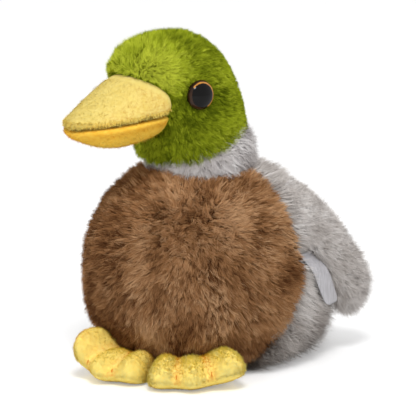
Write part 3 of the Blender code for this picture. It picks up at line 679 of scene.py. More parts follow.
def grow(name, ground, seed, comb, keep, style, painted_shading=None, size=None):
    """The mesh of a patch of pile on a ground mesh.

    comb gives each root the way that its strand lies, keep says which roots grow, the shading function moves their
    shade to paint light and shade on the pile, and size scales their length."""
    rng = np.random.default_rng(seed)
    roots, normals = scatter(ground, style["count"], rng)
    kept = keep(roots, normals)
    roots, normals = roots[kept], normals[kept]
    count = len(roots)
    flow = comb(roots, normals) + style["swirl"] * drift(roots, style["swirl_size"], seed)
    flow += style["stray"] * rng.normal(size=(count, 3))
    centres = rng.choice(count, max(count // style["tuft"], 1), replace=False)
    tree = KDTree(len(centres))
    for i, spot in enumerate(roots[centres]):
        tree.insert(spot, i)
    tree.balance()
    tufts = np.array([tree.find(spot)[1] for spot in roots])
    flow += (style["part"] * rng.normal(size=(len(centres), 3)))[tufts]
    flow = unit(flow - (flow * normals).sum(1)[:, None] * normals)
    leans = style["lean"] + style["lean_spread"] * rng.normal(size=count)
    leans += (style["lean_spread"] * rng.normal(size=len(centres)))[tufts]
    leans = np.clip(leans, 0.05, 1.45)
    ends = np.clip(leans + style["droop"], 0.05, 1.6)
    first = normals * np.cos(leans)[:, None] + flow * np.sin(leans)[:, None]
    last = normals * np.cos(ends)[:, None] + flow * np.sin(ends)[:, None]
    lengths = style["length"] * (1 + style["length_spread"] * rng.normal(size=count).clip(-2, 2))
    lengths *= 1 + style["patchy"] * drift(roots, style["swirl_size"], seed + 1)[:, 0]
    if size:
        lengths = lengths * size(roots)
    steps = style["steps"]
    share = np.linspace(0, 1, steps + 1)[None, :, None]
    bend = first[:, None] * share + (last - first)[:, None] * share**2 / 2
    paths = roots[:, None] + lengths[:, None, None] * bend
    own = centres[tufts]
    gathered = roots[own][:, None] + lengths[:, None, None] * bend[own]
    paths += style["gather"] * share**1.4 * (gathered - paths)
    paths[:, :, 2] = np.maximum(paths[:, :, 2], FLOOR_GAP)
    along = unit(paths[:, -1] - paths[:, 0])
    sides = unit(np.cross(along, normals + 0.2 * rng.normal(size=(count, 3))))
    turns = (style["twist"] * rng.normal(size=count))[:, None]
    sides = sides * np.cos(turns) + np.cross(along, sides) * np.sin(turns)
    shades = 0.5 + style["tuft_shade"] * (rng.random(len(centres))[tufts] - 0.5)
    shades += style["own_shade"] * (rng.random(count) - 0.5)
    shades += style["patch_shade"] * drift(roots, style["patch_size"], seed + 2)[:, 0]
    # Painted light and shade: the shading function lightens or darkens strands where light or shade falls.
    if painted_shading:
        shades += painted_shading(roots, normals)
    widths = style["width"] * (0.75 + 0.5 * rng.random(count))
    facing = normals + style["ruffle"] * np.cross(sides, along) + style["shine"] * flow
    facing = unit(facing + np.array([0, 0, style["lift"]]))
    return flakes(name, paths, sides, widths, np.clip(shades, MAP_MARGIN, 1 - MAP_MARGIN), facing)


def new_material(name, roughness, sheen=0.0, specular=0.0):
    """A material, its tree and its Principled node."""
    made = bpy.data.materials.new(name)
    made.use_nodes = True
    tree = made.node_tree
    shader = tree.nodes["Principled BSDF"]
    shader.inputs["Roughness"].default_value = roughness
    shader.inputs["Sheen Weight"].default_value = sheen
    shader.inputs["Sheen Roughness"].default_value = 0.5
    shader.inputs["Specular IOR Level"].default_value = specular
    return made, tree, shader


def ramp(tree, source, stops):
    """A colour ramp on a value. Each stop has its place and its colour or grey."""
    node = tree.nodes.new("ShaderNodeValToRGB")
    tree.links.new(source, node.inputs["Fac"])
    elements = node.color_ramp.elements
    while len(elements) < len(stops):
        elements.new(0.5)
    for element, (place, colour) in zip(elements, stops):
        element.position = place
        element.color = (*colour, 1.0) if hasattr(colour, "__len__") else (colour, colour, colour, 1.0)
    return node.outputs["Color"]


def multiplied(tree, first, second, share=1.0):
    """One colour multiplied by another."""
    node = tree.nodes.new("ShaderNodeMix")
    node.data_type = "RGBA"
    node.blend_type = "MULTIPLY"
    node.inputs["Factor"].default_value = share
    tree.links.new(first, node.inputs["A"])
    tree.links.new(second, node.inputs["B"])
    return node.outputs["Result"]


def noise_value(tree, vector, scale, detail=3.0, stretch=None):
    """A noise texture's value."""
    if stretch:
        mapping = tree.nodes.new("ShaderNodeMapping")
        mapping.inputs["Scale"].default_value = stretch
        tree.links.new(vector, mapping.inputs["Vector"])
        vector = mapping.outputs["Vector"]
    node = tree.nodes.new("ShaderNodeTexNoise")
    node.inputs["Scale"].default_value = scale
    node.inputs["Detail"].default_value = detail
    tree.links.new(vector, node.inputs["Vector"])
    return node.outputs["Fac"]


def bumped(tree, shader, value, strength, distance):
    """Bumps from a value."""
    node = tree.nodes.new("ShaderNodeBump")
    node.inputs["Strength"].default_value = strength
    node.inputs["Distance"].default_value = distance
    tree.links.new(value, node.inputs["Height"])
    tree.links.new(node.outputs["Normal"], shader.inputs["Normal"])


def pile_material(name, colours, root, roughness=0.9, sheen=0.0):
    """Strands: their shade picks a colour across the map, and they darken to their roots along it, a painted shade
    deep in the pile.
    """
    made, tree, shader = new_material(name, roughness, sheen)
    uv = tree.nodes.new("ShaderNodeUVMap")
    uv.uv_map = "OFBake"
    split = tree.nodes.new("ShaderNodeSeparateXYZ")
    tree.links.new(uv.outputs["UV"], split.inputs["Vector"])
    last = len(colours) - 1
    shade = ramp(tree, split.outputs["X"], [(i / last, colour) for i, colour in enumerate(colours)])
    halfway = tuple((1 + level) / 2 for level in root)
    # Painted shade: the root colour darkens each strand towards its root.
    depth = ramp(tree, split.outputs["Y"], [(0.0, root), (0.45, halfway), (1.0, 1.0)])
    streaks = ramp(tree, noise_value(tree, uv.outputs["UV"], 60.0, 2.0, (1.0, 0.1, 1.0)), [(0.3, 0.86), (0.7, 1.0)])
    colour = multiplied(tree, multiplied(tree, shade, depth), streaks)
    tree.links.new(colour, shader.inputs["Base Color"])
    return made


def ground_material(name, dark, light, scale, roughness=0.95, bump=0.0003):
    """Backing cloth or short nap, mottled in two shades, with a fine bump. Under long pile it is given dark colours as
    painted shade among the roots.
    """
    made, tree, shader = new_material(name, roughness)
    place = tree.nodes.new("ShaderNodeTexCoord").outputs["Object"]
    mottle = noise_value(tree, place, scale)
    tree.links.new(ramp(tree, mottle, [(0.3, dark), (0.7, light)]), shader.inputs["Base Color"])
    bumped(tree, shader, noise_value(tree, place, scale * 6), 0.6, bump)
    return made


def half_space(behind):
    """A block that holds everything behind the body's seam, or ahead of it."""
    seam = BODY_FRONT + BODY_LENGTH * BODY_SEAM_SHARE
    half_gap = SEAM_GAP / 2
    if behind:
        return block((-OVERRUN, seam - half_gap, -OVERRUN), (OVERRUN, OVERRUN, OVERRUN))
    return block((-OVERRUN, -OVERRUN, -OVERRUN), (OVERRUN, seam + half_gap, OVERRUN))


def floor_cut():
    """Everything under the floor."""
    return block((-OVERRUN, -OVERRUN, -OVERRUN), (OVERRUN, OVERRUN, 0.0))


def neck_cut(gap=JOINT_GAP):
    """The ball in which the neck turns."""
    return ball(NECK_RADIUS + gap, NECK_PLACE, 64, 32)


def show(name, mesh, body, materials, slot, nodes=()):
    """A visible piece that moves with a CAD body and stands for CAD nodes."""
    piece = bpy.data.objects.new(name, mesh)
    bpy.context.scene.collection.objects.link(piece)
    mesh.materials.clear()
    for material in materials:
        mesh.materials.append(material)
    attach(piece, body)
    if nodes:
        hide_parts(*nodes)
    return piece


def show_pile(name, body, material, slot, ground, seed, comb, keep, style, painted_shading=None, size=None):
    """A deep pile, grown in layers whose tufts lie across each other."""
    for layer in range(LAYERS):
        mesh = grow(f"{name}_{layer}", ground, seed + 100 * layer, comb, keep, style, painted_shading, size)
        show(f"{name}_{layer}", mesh, body, [material], slot)


def moved(mesh, matrix):
    """A mesh carried by a matrix."""
    mesh.transform(matrix)
    return mesh


def outside(tree, gap):
    """Tells which points lie outside of a closed mesh by more than gap."""

    def test(points):
        kept = np.empty(len(points), bool)
        for i, point in enumerate(points):
            spot, normal, _, _ = tree.find_nearest(Vector(point))
            kept[i] = (Vector(point) - spot).dot(normal) > gap
        return kept

    return test


def kept_clear(mesh, tree, gap):
    """Moves the points of a mesh that lie in a closed surface, or near it, out to a gap from it."""
    for vertex in mesh.vertices:
        spot, normal, _, _ = tree.find_nearest(vertex.co)
        if (vertex.co - spot).dot(normal) < gap:
            vertex.co = spot + normal * gap
    mesh.update()
    return mesh


def far_from(places, radius):
    """Tells which points lie farther than radius from each of the places."""

    def test(points):
        kept = np.ones(len(points), bool)
        for place in places:
            kept &= np.linalg.norm(points - np.array(place), axis=1) > radius
        return kept

    return test


def every(*tests):
    """A keep rule that holds where each of the tests of the points holds."""
    return lambda points, normals: np.logical_and.reduce([test(points) for test in tests])


NECK = Vector(NECK_PLACE)
HEAD_PLACE = Matrix.Translation(NECK) @ Matrix.Rotation(HEAD_TURN, 4, "Z") @ Matrix.Rotation(HEAD_PITCH, 4, "X")
BAND_PLACE = Matrix.Translation(NECK) @ Matrix.Rotation(NECK_LEAN, 4, "X")
SEAM = BODY_FRONT + BODY_LENGTH * BODY_SEAM_SHARE
HEAD_AXES = np.array(HEAD_PLACE.to_3x3())
BODY_SKIN = tree_of(rounded(body_cage("body"), SMOOTH_LEVELS))

# --- body -------------------------------------------------------------------------------------------------


def make_body():
    """The egg under the pile in two halves, the fill inside of it, and the pile of each half."""
    for name, behind, slot, ground, node in (
        ("breast", True, "brown_pile", BROWN_SHADED_GROUND, "breast_cover"),
        ("back", False, "grey_pile", GREY_SHADED_GROUND, "back_cover"),
    ):
        egg = rounded(body_cage(name), 3, -PILE_INSET)
        core = rounded(body_cage(name), 2, -LONG_PILE_WALL)
        skin = cut(egg, core, half_space(behind), neck_cut(), floor_cut())
        show(f"{name}_skin", skin, "body", [ground], slot, [node])
    fill = cut(rounded(body_cage("fill"), 3, -LONG_PILE_WALL - SEAM_GAP), neck_cut())
    show("body_fill", fill, "body", [STUFFING], "stuffing", ["body_stuffing", "pellet_bag"])
    egg = rounded(body_cage("pile"), 3, -PILE_INSET)
    clear = far_from([NECK_PLACE], NECK_RADIUS + JOINT_GAP + 0.0008)

    def breast_comb(points, normals):
        spread = points - np.array(BREAST_CENTRE)
        radial = unit(spread) * np.clip(np.linalg.norm(spread, axis=1) / 0.03, 0, 1)[:, None]
        return 0.75 * radial + np.array([0, 0.15, -0.3])

    def back_comb(points, normals):
        low = np.clip((0.045 - points[:, 2]) / 0.03, 0, 1)[:, None]
        outwards = unit(normals * np.array([1, 1, 0]))
        return np.array([0, 0.85, -0.55]) * (1 - low) + low * (0.6 * outwards + np.array([0.1, 0.2, -0.45]))

    def near_neck(points):
        return np.clip((np.linalg.norm(points - np.array(NECK_PLACE), axis=1) - NECK_RADIUS) / 0.012, 0, 1)

    def breast_size(points):
        ahead = unit(points - np.array(NECK_PLACE)) @ np.array([-0.6, -0.8, 0])
        return np.maximum(0.55 + 0.45 * near_neck(points), 1.1 * np.clip(2 * ahead - 0.6, 0, 1))

    # Painted shade: the breast's pile darkens on its side to the left of the view and towards the floor.
    def breast_painted_shade(points, normals):
        left = np.clip((-0.026 - points @ np.array(SCREEN_RIGHT)) / 0.03, 0, 1)
        low = np.clip((0.04 - points[:, 2]) / 0.03, 0, 1)
        return -0.2 * left - 0.18 * low

    def back_size(points):
        low = np.clip((0.045 - points[:, 2]) / 0.03, 0, 1)
        return (0.5 + 0.5 * near_neck(points)) * (1 + 0.65 * low) * (1 - 0.75 * under_ribbon(points))

    # Painted shade: the back's pile darkens towards the floor.
    def back_painted_shade(points, normals):
        return -0.2 * np.clip((0.05 - points[:, 2]) / 0.04, 0, 1)

    def behind_seam(points):
        """How far behind the edge of the brown pile points lie. It runs forwards near the floor."""
        high = 0.005 * np.clip((points[:, 2] - 0.05) / 0.03, 0, 1)
        return points[:, 1] - SEAM + high + 0.016 * np.clip((0.045 - points[:, 2]) / 0.03, 0, 1)

    front = every(clear, lambda p: behind_seam(p) < 0, lambda p: p[:, 2] > 0.0025)
    rear = every(clear, lambda p: behind_seam(p) > 0, lambda p: p[:, 2] > 0.0025)
    show_pile("breast_pile", "body", BROWN_PILE, "brown_pile", egg, 11, breast_comb, front, BROWN_STYLE,
              breast_painted_shade, breast_size)
    show_pile("back_pile", "body", GREY_PILE, "grey_pile", egg, 12, back_comb, rear, BACK_STYLE, back_painted_shade, back_size)


def under_ribbon(points):
    """1 for the roots that the ribbon lies on, and 0 beside it."""
    angles = np.arctan2(points[:, 2] - BODY_HEIGHT * BODY_AXIS_SHARE, points[:, 0])
    along = (RIBBON_START_ANGLE - angles) * WING_WRAP_RADIUS / math.cos(RIBBON_SLANT)
    across = points[:, 1] - SEAM - RIBBON_START - along * math.sin(RIBBON_SLANT)
    inside = (along > -0.006) & (along < RIBBON_LENGTH - 0.002) & (across > -0.004) & (across < RIBBON_WIDTH)
    return (inside & (points[:, 0] > 0)).astype(float)


def make_neck():
    """The band's ball and its soft pile."""
    skin = ball(NECK_RADIUS, NECK_PLACE, 64, 32)
    show("neck_skin", skin, "neck", [BAND_SHADED_GROUND], "white_pile", ["neck_band", "neck_stuffing"])
    up = np.array(BAND_PLACE.to_3x3())[:, 2]

    def comb(points, normals):
        return -0.5 * up + 0 * points

    def keep(points, normals):
        height = (points - np.array(NECK)) @ up
        return (height > -0.012) & (height < 0.021)

    def size(points):
        ahead = unit(points - np.array(NECK)) @ np.array([-0.75, -0.66, 0])
        return 1 - 0.55 * np.clip(2 * ahead - 0.6, 0, 1)

    pile = grow("neck_pile", ball(NECK_RADIUS, NECK_PLACE, 64, 32), 21, comb, keep, BAND_STYLE, size=size)
    show("neck_pile", pile, "neck", [BAND_PILE], "white_pile")


# --- head -------------------------------------------------------------------------------------------------


def eye_places():
    """Each eye's side, name and place in the model."""
    outer = tree_of(rounded(head_cage("outer"), SMOOTH_LEVELS, SEAM_GAP))
    origin = Vector((0, -EYE_ORIGIN_AHEAD, EYE_ORIGIN_HEIGHT))
    places = []
    for side, name in ((1, "left"), (-1, "right")):
        axis = eye_axis(side)
        seat = outer.ray_cast(origin, axis)[0] + axis * (EYE_PROUD - EYE_DOME)
        turn = axis.to_track_quat("Z", "Y").to_matrix().to_4x4()
        places.append((side, name, HEAD_PLACE @ Matrix.Translation(seat) @ turn))
    return places


def turned(profile, steps):
    """The mesh that a profile of (radius, height) points makes about Z."""
    shape = bmesh.new()
    rings = []
    for radius, height in profile:
        if radius == 0:
            rings.append([shape.verts.new((0, 0, height))])
            continue
        angles = [2 * math.pi * i / steps for i in range(steps)]
        rings.append([shape.verts.new((radius * math.cos(a), radius * math.sin(a), height)) for a in angles])
    for upper, lower in zip(rings, rings[1:]):
        for i in range(steps):
            corners = [upper[i % len(upper)], lower[i % len(lower)]]
            corners += [lower[(i + 1) % len(lower)], upper[(i + 1) % len(upper)]]
            corners = list(dict.fromkeys(corners))
            if len(corners) > 2:
                shape.faces.new(corners)
    return mesh_from(shape, "turned")


def eye_profile():
    """The domed eye from the middle of its dome to its shank's end."""
    profile = [(0, EYE_DOME)]
    for step in range(1, EYE_POINTS + 1):
        angle = math.pi / 2 * step / EYE_POINTS
        profile.append((EYE_RADIUS * math.sin(angle), EYE_DOME * math.cos(angle)))
    profile += [(EYE_RADIUS, -EYE_RIM), (SHANK_RADIUS, -EYE_RIM)]
    for ridge in range(SHANK_RIDGES):
        height = -SHANK_LENGTH + SHANK_RIDGE_PITCH * (SHANK_RIDGES - ridge)
        profile += [(SHANK_RADIUS, height), (SHANK_RADIUS - SHANK_RIDGE, height - SHANK_RIDGE_PITCH / 2)]
    return [*profile, (SHANK_RADIUS, -SHANK_LENGTH), (0, -SHANK_LENGTH)]


def make_head(eyes):
    """The head's skin and pile round the beak and the eyes."""
    solid = moved(rounded(head_cage("skin"), 3, -HEAD_INSET), HEAD_PLACE)
    hollows = [moved(turned([(0, 0.01), (EYE_RADIUS + SEAM_GAP, 0.01), (EYE_RADIUS + SEAM_GAP, -EYE_RIM - SEAM_GAP),
                             (SHANK_RADIUS + SEAM_GAP, -EYE_RIM - SEAM_GAP),
                             (SHANK_RADIUS + SEAM_GAP, -SHANK_LENGTH - SEAM_GAP),
                             (0, -SHANK_LENGTH - SEAM_GAP)], 48), place) for _, _, place in eyes]
    skin = cut(solid, neck_cut(), *hollows)
    show("head_skin", skin, "head", [GREEN_SHADED_GROUND], "green_pile", ["head_cover", "head_stuffing"])
    ground = moved(rounded(head_cage("pile"), 3, -HEAD_INSET), HEAD_PLACE)
    upper = tree_of(moved(rounded(beak_cage("u", UPPER_BEAK_SHARES, UPPER_BEAK_HEIGHT, UPPER_BEAK_POWER), 2), HEAD_PLACE))
    lower = tree_of(moved(rounded(beak_cage("l", LOWER_BEAK_SHARES, -LOWER_BEAK_DEPTH, LOWER_BEAK_POWER), 2), HEAD_PLACE))
    seats = [np.array(place.translation) + 0.5 * EYE_DOME * np.array(place.to_3x3())[:, 2] for _, _, place in eyes]

    def comb(points, normals):
        local = (points - np.array(NECK)) @ HEAD_AXES
        flow = np.zeros_like(local)
        flow[:, 1] = 0.55
        flow[:, 2] = -0.5
        flow[:, 2] += 0.5 * np.clip((local[:, 2] - 0.05) / 0.02, 0, 1)
        world = flow @ HEAD_AXES.T
        for seat in seats:
            away = points - seat
            far = np.linalg.norm(away, axis=1)
            world += 1.1 * unit(away) * np.exp(-((far - EYE_RADIUS) / 0.004).clip(0) ** 2)[:, None]
        return world

    def size(points):
        local = (points - np.array(NECK)) @ HEAD_AXES
        near = np.min([np.linalg.norm(points - seat, axis=1) for seat in seats], axis=0)
        scale = 0.5 + 0.5 * np.clip((near - EYE_RADIUS) / 0.006, 0, 1)
        beak = np.clip((-local[:, 1] - 0.018) / 0.014, 0, 1) * np.clip((0.062 - local[:, 2]) / 0.012, 0, 1)
        brow = np.clip((-local[:, 1] - 0.016) / 0.02, 0, 1) * np.clip((local[:, 2] - 0.046) / 0.01, 0, 1)
        behind = np.clip((local[:, 1] + 0.012) / 0.02, 0, 1)
        rim = np.clip((0.014 - local[:, 2]) / 0.012, 0, 1)
        return scale * (1 - 0.35 * beak) * (1 + 0.5 * brow) * (1 - 0.3 * behind) * (1 + 0.9 * rim)

    # Painted light and shade: the pile is lighter on the brow ahead and darker on the crown, low at the front and
    # round the eyes.
    def painted_shading(points, normals):
        local = (points - np.array(NECK)) @ HEAD_AXES
        near = np.min([np.linalg.norm(points - seat, axis=1) for seat in seats], axis=0)
        high = np.clip((local[:, 2] - 0.04) / 0.008, 0, 1)
        light = -0.1 * np.clip((local[:, 2] - 0.056) / 0.008, 0, 1)
        light += 0.5 * np.clip((-local[:, 1] - 0.018) / 0.014, 0, 1) * high
        light -= 0.08 * np.clip((-local[:, 1] - 0.004) / 0.01, 0, 1) * (1 - high)
        return light - 0.1 - 0.15 * np.exp(-((near - EYE_RADIUS) / 0.008).clip(0) ** 2)

    keep = every(
        far_from([NECK_PLACE], NECK_RADIUS + JOINT_GAP + 0.0006), far_from(seats, EYE_RADIUS - 0.0003),
        outside(upper, 0.0004), outside(lower, 0.0004),
    )
    show_pile("head_pile", "head", GREEN_PILE, "green_pile", ground, 31, comb, keep, GREEN_STYLE, painted_shading, size)


def full_lip(name, mesh):
    """Widens the lower beak at its lip, as far as the upper one."""
    if name == "lower_beak":
        for vertex in mesh.vertices:
            near = smoothstep((vertex.co.z - BEAK_MOUTH_HEIGHT + LIP_HEIGHT) / LIP_HEIGHT * 1.4)
            vertex.co.x *= 1 + LIP_WIDENING * near
    return mesh


def make_beak():
    """Each half of the beak: its skin and its nap."""
    head = moved(rounded(head_cage("limit"), 3, 0.0), HEAD_PLACE)
    near_head = tree_of(head)
    upper = (UPPER_BEAK_SHARES, UPPER_BEAK_HEIGHT, UPPER_BEAK_POWER)
    lower = (LOWER_BEAK_SHARES, -LOWER_BEAK_DEPTH, LOWER_BEAK_POWER)
    for name, shape, ground, pile_look, slot, style, seed in (
        ("upper_beak", upper, BEAK_GROUND, BEAK_NAP, "yellow_pile", BEAK_STYLE, 41),
        ("lower_beak", lower, ORANGE_GROUND, ORANGE_NAP, "orange_pile", LOWER_STYLE, 42),
    ):
        limit = moved(rounded(head_cage("limit"), 3, -HEAD_INSET), HEAD_PLACE)
        solid = moved(full_lip(name, rounded(beak_cage(name, *shape, CLOSED_LIP_SHARE), 3, -SKIN_INSET)), HEAD_PLACE)
        nodes = [f"{name}_cover", f"{name}_stuffing"]
        show(f"{name}_skin", cut(solid, limit), "head", [ground], slot, nodes)

        def level(points):
            return ((points - np.array(NECK)) @ HEAD_AXES)[:, 2] - BEAK_MOUTH_HEIGHT

        def comb(points, normals):
            return np.array(HEAD_PLACE.to_3x3() @ Vector((0, -0.6, -0.45))) + 0 * points

        def lip_comb(points, normals):
            return np.array([0, 0, -1.0]) + 0 * points

        def lip(points, normals):
            strip = (level(points) > 0.0002) & (level(points) < 0.0034)
            return strip & every(outside(near_head, 0.0006))(points, normals)

        # Painted shade: the upper beak turns orange towards its +X side, the lower beak under the upper one's
        # overhang, and a dark line runs along the mouth crease.
        def painted_shading(points, normals):
            across = ((points - np.array(NECK)) @ HEAD_AXES)[:, 0]
            shaded = 0.36 * np.clip((across - 0.004) / 0.014, 0, 1) * (level(points) > 0)
            under = 0.35 * np.clip((level(points) + 0.009) / 0.005, 0, 1) * (level(points) < 0)
            return 0.08 - shaded - under - 0.25 * np.exp(-((level(points) - 0.0006) / 0.0007) ** 2)

        keep = every(outside(near_head, 0.0006))
        solid = moved(full_lip(name, rounded(beak_cage(name, *shape, CLOSED_LIP_SHARE), 3, -NAP_INSET)), HEAD_PLACE)
        nap = grow(f"{name}_nap", solid, seed, comb, keep, style, painted_shading)
        show(f"{name}_nap", nap, "head", [pile_look], slot)
        fuzz = grow(f"{name}_fuzz", solid, seed + 7, comb, keep, FUZZ_STYLE, painted_shading)
        show(f"{name}_fuzz", fuzz, "head", [pile_look], slot)
        if name == "upper_beak":
            nap = grow("lip_nap", solid, seed + 5, lip_comb, lip, LIP_STYLE)
            show("lip_nap", nap, "head", [LIP_NAP], slot)


def make_eyes(eyes):
    """Glossy domed eyes: a black pupil in a thin ring, amber above and behind as painted light and dark elsewhere as
    painted shade, with a dark rim.
    """
    for _, name, place in eyes:
        mesh = moved(turned(eye_profile(), EYE_SIDES), place)
        centre = place.translation
        axis = place.to_3x3() @ Vector((0, 0, 1))
        lit = HEAD_PLACE.to_3x3() @ Vector((0, 0.85, 0.5))
        ahead = HEAD_PLACE.to_3x3() @ Vector((0, -EYE_RADIUS, 0))
        shares = []
        for face in mesh.polygons:
            away = face.center - centre
            height = away.dot(axis)
            across = away - axis * height
            in_pupil = (across - ahead * PUPIL_AHEAD).length < EYE_RADIUS * PUPIL_SHARE
            in_ring = (across - ahead * RING_AHEAD).length < EYE_RADIUS * RING_SHARE
            # Painted light and shade: the ring is amber only on the side that light falls on, and takes the rim's dark
            # colour elsewhere.
            lit_ring = in_ring and across.normalized().dot(lit) > -0.2
            shares.append(2 if height < 0 else 0 if in_pupil else 1 if lit_ring else 2)
        show(f"{name}_eye_gloss", mesh, "head", [PUPIL, AMBER, EYE_RIM_AND_SHADE], "eye_plastic", [f"{name}_eye"])
        mesh.polygons.foreach_set("material_index", shares)
        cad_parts[f"{name}_eye_washer"].data.materials.clear()
        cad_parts[f"{name}_eye_washer"].data.materials.append(WASHER)


# --- wings, tail and feet ---------------------------------------------------------------------------------


def make_wings():
    """Each wing's skin, its long outer pile and the short nap under it."""
    body = tree_of(rounded(body_cage("limit"), 2, 0.0))
    for side, name, seed in ((1, "left", 51), (-1, "right", 55)):
        mirror = Matrix.Scale(side, 4, (1, 0, 0))

        def shaped(levels, offset):
            mesh = rounded(wing_cage(name), levels, offset)
            mesh.transform(mirror)
            if side < 0:
                mesh.flip_normals()
            return mesh

        skin = kept_clear(shaped(3, -NAP_INSET), body, WING_BODY_GAP)
        nodes = [f"{name}_wing_outer", f"{name}_wing_lining", f"{name}_wing_stuffing"]
        show(f"{name}_wing_skin", skin, f"{name}_wing", [GREY_SHADED_GROUND], "grey_pile", nodes)

        def comb(points, normals):
            return np.array([side * 0.1, 0.85, -0.5]) + 0 * points

        def away(points, normals):
            spots = [body.find_nearest(Vector(p)) for p in points]
            outwards = np.array([spot[1] for spot in spots])
            return (normals * outwards).sum(1)

        def outer(points, normals):
            return away(points, normals) > -0.5

        def inner(points, normals):
            return away(points, normals) < -0.4

        def size(points):
            along = (points[:, 1] - WING_ROOT) / WING_REACH
            return 0.45 + 0.35 * np.clip(along / 0.5, 0, 1) + 0.3 * np.clip((along - 0.6) / 0.3, 0, 1)

        ground = shaped(3, -NAP_INSET)
        show_pile(f"{name}_wing_pile", f"{name}_wing", GREY_PILE, "grey_pile", ground, seed, comb, outer, WING_STYLE,
                  size=size)
        nap = grow(f"{name}_wing_nap", ground, seed + 1, comb, inner, LINING_STYLE)
        show(f"{name}_wing_nap", nap, f"{name}_wing", [LINING_NAP], "lining_cloth")


def make_tail():
    """The short tail."""
    place = Matrix.Translation(TAIL_PLACE) @ Matrix.Rotation(TAIL_RISE, 4, "X")
    limit = rounded(body_cage("limit"), 2, SEAM_GAP - PILE_INSET)
    skin = cut(moved(rounded(tail_cage("tail"), 3), place), limit)
    show("tail_skin", skin, "body", [GREY_SHADED_GROUND], "grey_pile", ["tail_cover", "tail_stuffing"])

    def comb(points, normals):
        return np.array([0, 0.9, 0.1]) + 0 * points

    keep = every(outside(BODY_SKIN, -0.0005))
    pile = grow("tail_pile", moved(rounded(tail_cage("tail"), 3), place), 61, comb, keep, TAIL_STYLE)
    show("tail_pile", pile, "body", [GREY_PILE], "grey_pile")


def foot_spot(side, name):
    """Puts a point of the flat foot in the model."""
    root = Vector((side * FOOT_ROOT[0], FOOT_ROOT[1], 0))
    turn = Matrix.Rotation(side * FOOT_TURNS[name], 4, "Z")

    def spot(point):
        outwards = side * point.x / FOOT_HALF_WIDTH
        across = point.x * (FOOT_OUTER_SHARES[name] if outwards > 0 else 1.0)
        rise = smoothstep(outwards)
        height = point.z * (1 + FOOT_SWELLS[name] * rise) + FOOT_LIFTS[name] * rise
        return root + turn @ Vector((across, point.y, height))

    return spot


def make_foot(side, name, seed):
    """One foot: skin, nap above and below, and the thread between its toes."""
    spot = foot_spot(side, name)
    limit = rounded(body_cage("limit"), 2, JOINT_GAP)

    def full(point):
        """Lets the lifted outer toe hang down under its solid."""
        outwards = side * point.x / FOOT_HALF_WIDTH
        low = 1 - max(0.0, min(1.0, point.z / FOOT_HEIGHT))
        ahead = -point.y / FOOT_LENGTH
        across = point.x / (FOOT_HALF_WIDTH * (FOOT_FAN_SHARE + (1 - FOOT_FAN_SHARE) * ahead))
        dip = math.exp(-((abs(across) - TOE_VALLEY) / 0.1) ** 2) * smoothstep((ahead - 0.2) / 0.4)
        dipped = Vector((point.x, point.y * (1 - VALLEY_BACK * dip), point.z * (1 - VALLEY_DIP * dip)))
        return spot(dipped) - Vector((0, 0, FOOT_DROPS[name] * smoothstep(outwards) * low))

    skin = cut(rounded(foot_cage(name, full), 3, FOOT_SWELL), limit, floor_cut())
    nodes = [f"{name}_foot_upper", f"{name}_foot_sole", f"{name}_foot_stuffing"]
    show(f"{name}_foot_skin", skin, f"{name}_foot", [YELLOW_GROUND], "yellow_pile", nodes)
    start = spot(Vector((0, 0, 0)))
    ahead = (spot(Vector((0, -FOOT_LENGTH, 0))) - start).normalized()
    across = Vector((0, 0, 1)).cross(ahead)

    def shares(points):
        """How far ahead and across the foot points lie."""
        away = points - np.array(start)
        forward = away @ np.array(ahead) / FOOT_LENGTH
        outwards = away @ np.array(across)
        wide = np.where(outwards * side > 0, FOOT_OUTER_SHARES[name], 1.0)
        fan = FOOT_FAN_SHARE + (1 - FOOT_FAN_SHARE) * forward.clip(0, 1)
        return forward, outwards / (wide * fan * FOOT_HALF_WIDTH)

    def valley(points):
        forward, outwards = shares(points)
        return np.exp(-((np.abs(outwards) - TOE_VALLEY) / 0.1) ** 2) * np.clip((forward - 0.2) / 0.3, 0, 1)

    def comb(points, normals):
        return 0.7 * np.array(ahead) + np.array([0, 0, -0.3]) + 0 * points

    def above(points, normals):
        return (points[:, 2] > 0.0006) & (normals[:, 2] > -0.55)

    def below(points, normals):
        return (points[:, 2] > 0.0006) & (normals[:, 2] <= -0.55)

    # Painted shade: the nap turns orange towards the back of the foot, near the body, and in the valleys between the
    # toes.
    def painted_shading(points, normals):
        forward, _ = shares(points)
        return FOOT_TONES[name] - 0.45 * (1 - np.clip(forward / 0.5, 0, 1)) - 0.35 * valley(points)

    def size(points):
        return 1 - 0.45 * valley(points)

    ground = rounded(foot_cage(name, full), 3, FOOT_SWELL - SKIN_INSET)
    nap = grow(f"{name}_foot_nap", ground, seed, comb, above, FOOT_STYLES[name], painted_shading, size)
    show(f"{name}_foot_nap", nap, f"{name}_foot", [YELLOW_NAP], "yellow_pile")
    nap = grow(f"{name}_sole_nap", ground, seed + 1, comb, below, SOLE_STYLE)
    show(f"{name}_sole_nap", nap, f"{name}_foot", [ORANGE_NAP], "orange_pile")
    surface = tree_of(ground)
    for index, share in enumerate((-TOE_VALLEY, TOE_VALLEY)):
        line = []
        for step in range(STITCH_POINTS):
            first, last = STITCH_SPANS[name]
            forward = first + (last - first) * step / (STITCH_POINTS - 1)
            fan = FOOT_FAN_SHARE + (1 - FOOT_FAN_SHARE) * forward
            flat = spot(Vector((share * fan * FOOT_HALF_WIDTH, -forward * FOOT_LENGTH, 0)))
            hit, normal, _, _ = surface.ray_cast(flat + Vector((0, 0, 0.05)), Vector((0, 0, -1)))
            if hit:
                line.append(hit + normal * STITCH_PROUD)
        if len(line) > 2:
            show(f"{name}_toe_stitch_{index}", thread(line, THREAD_RADIUS), f"{name}_foot", [THREAD], "orange_pile")


# --- ribbon and thread ------------------------------------------------------------------------------------


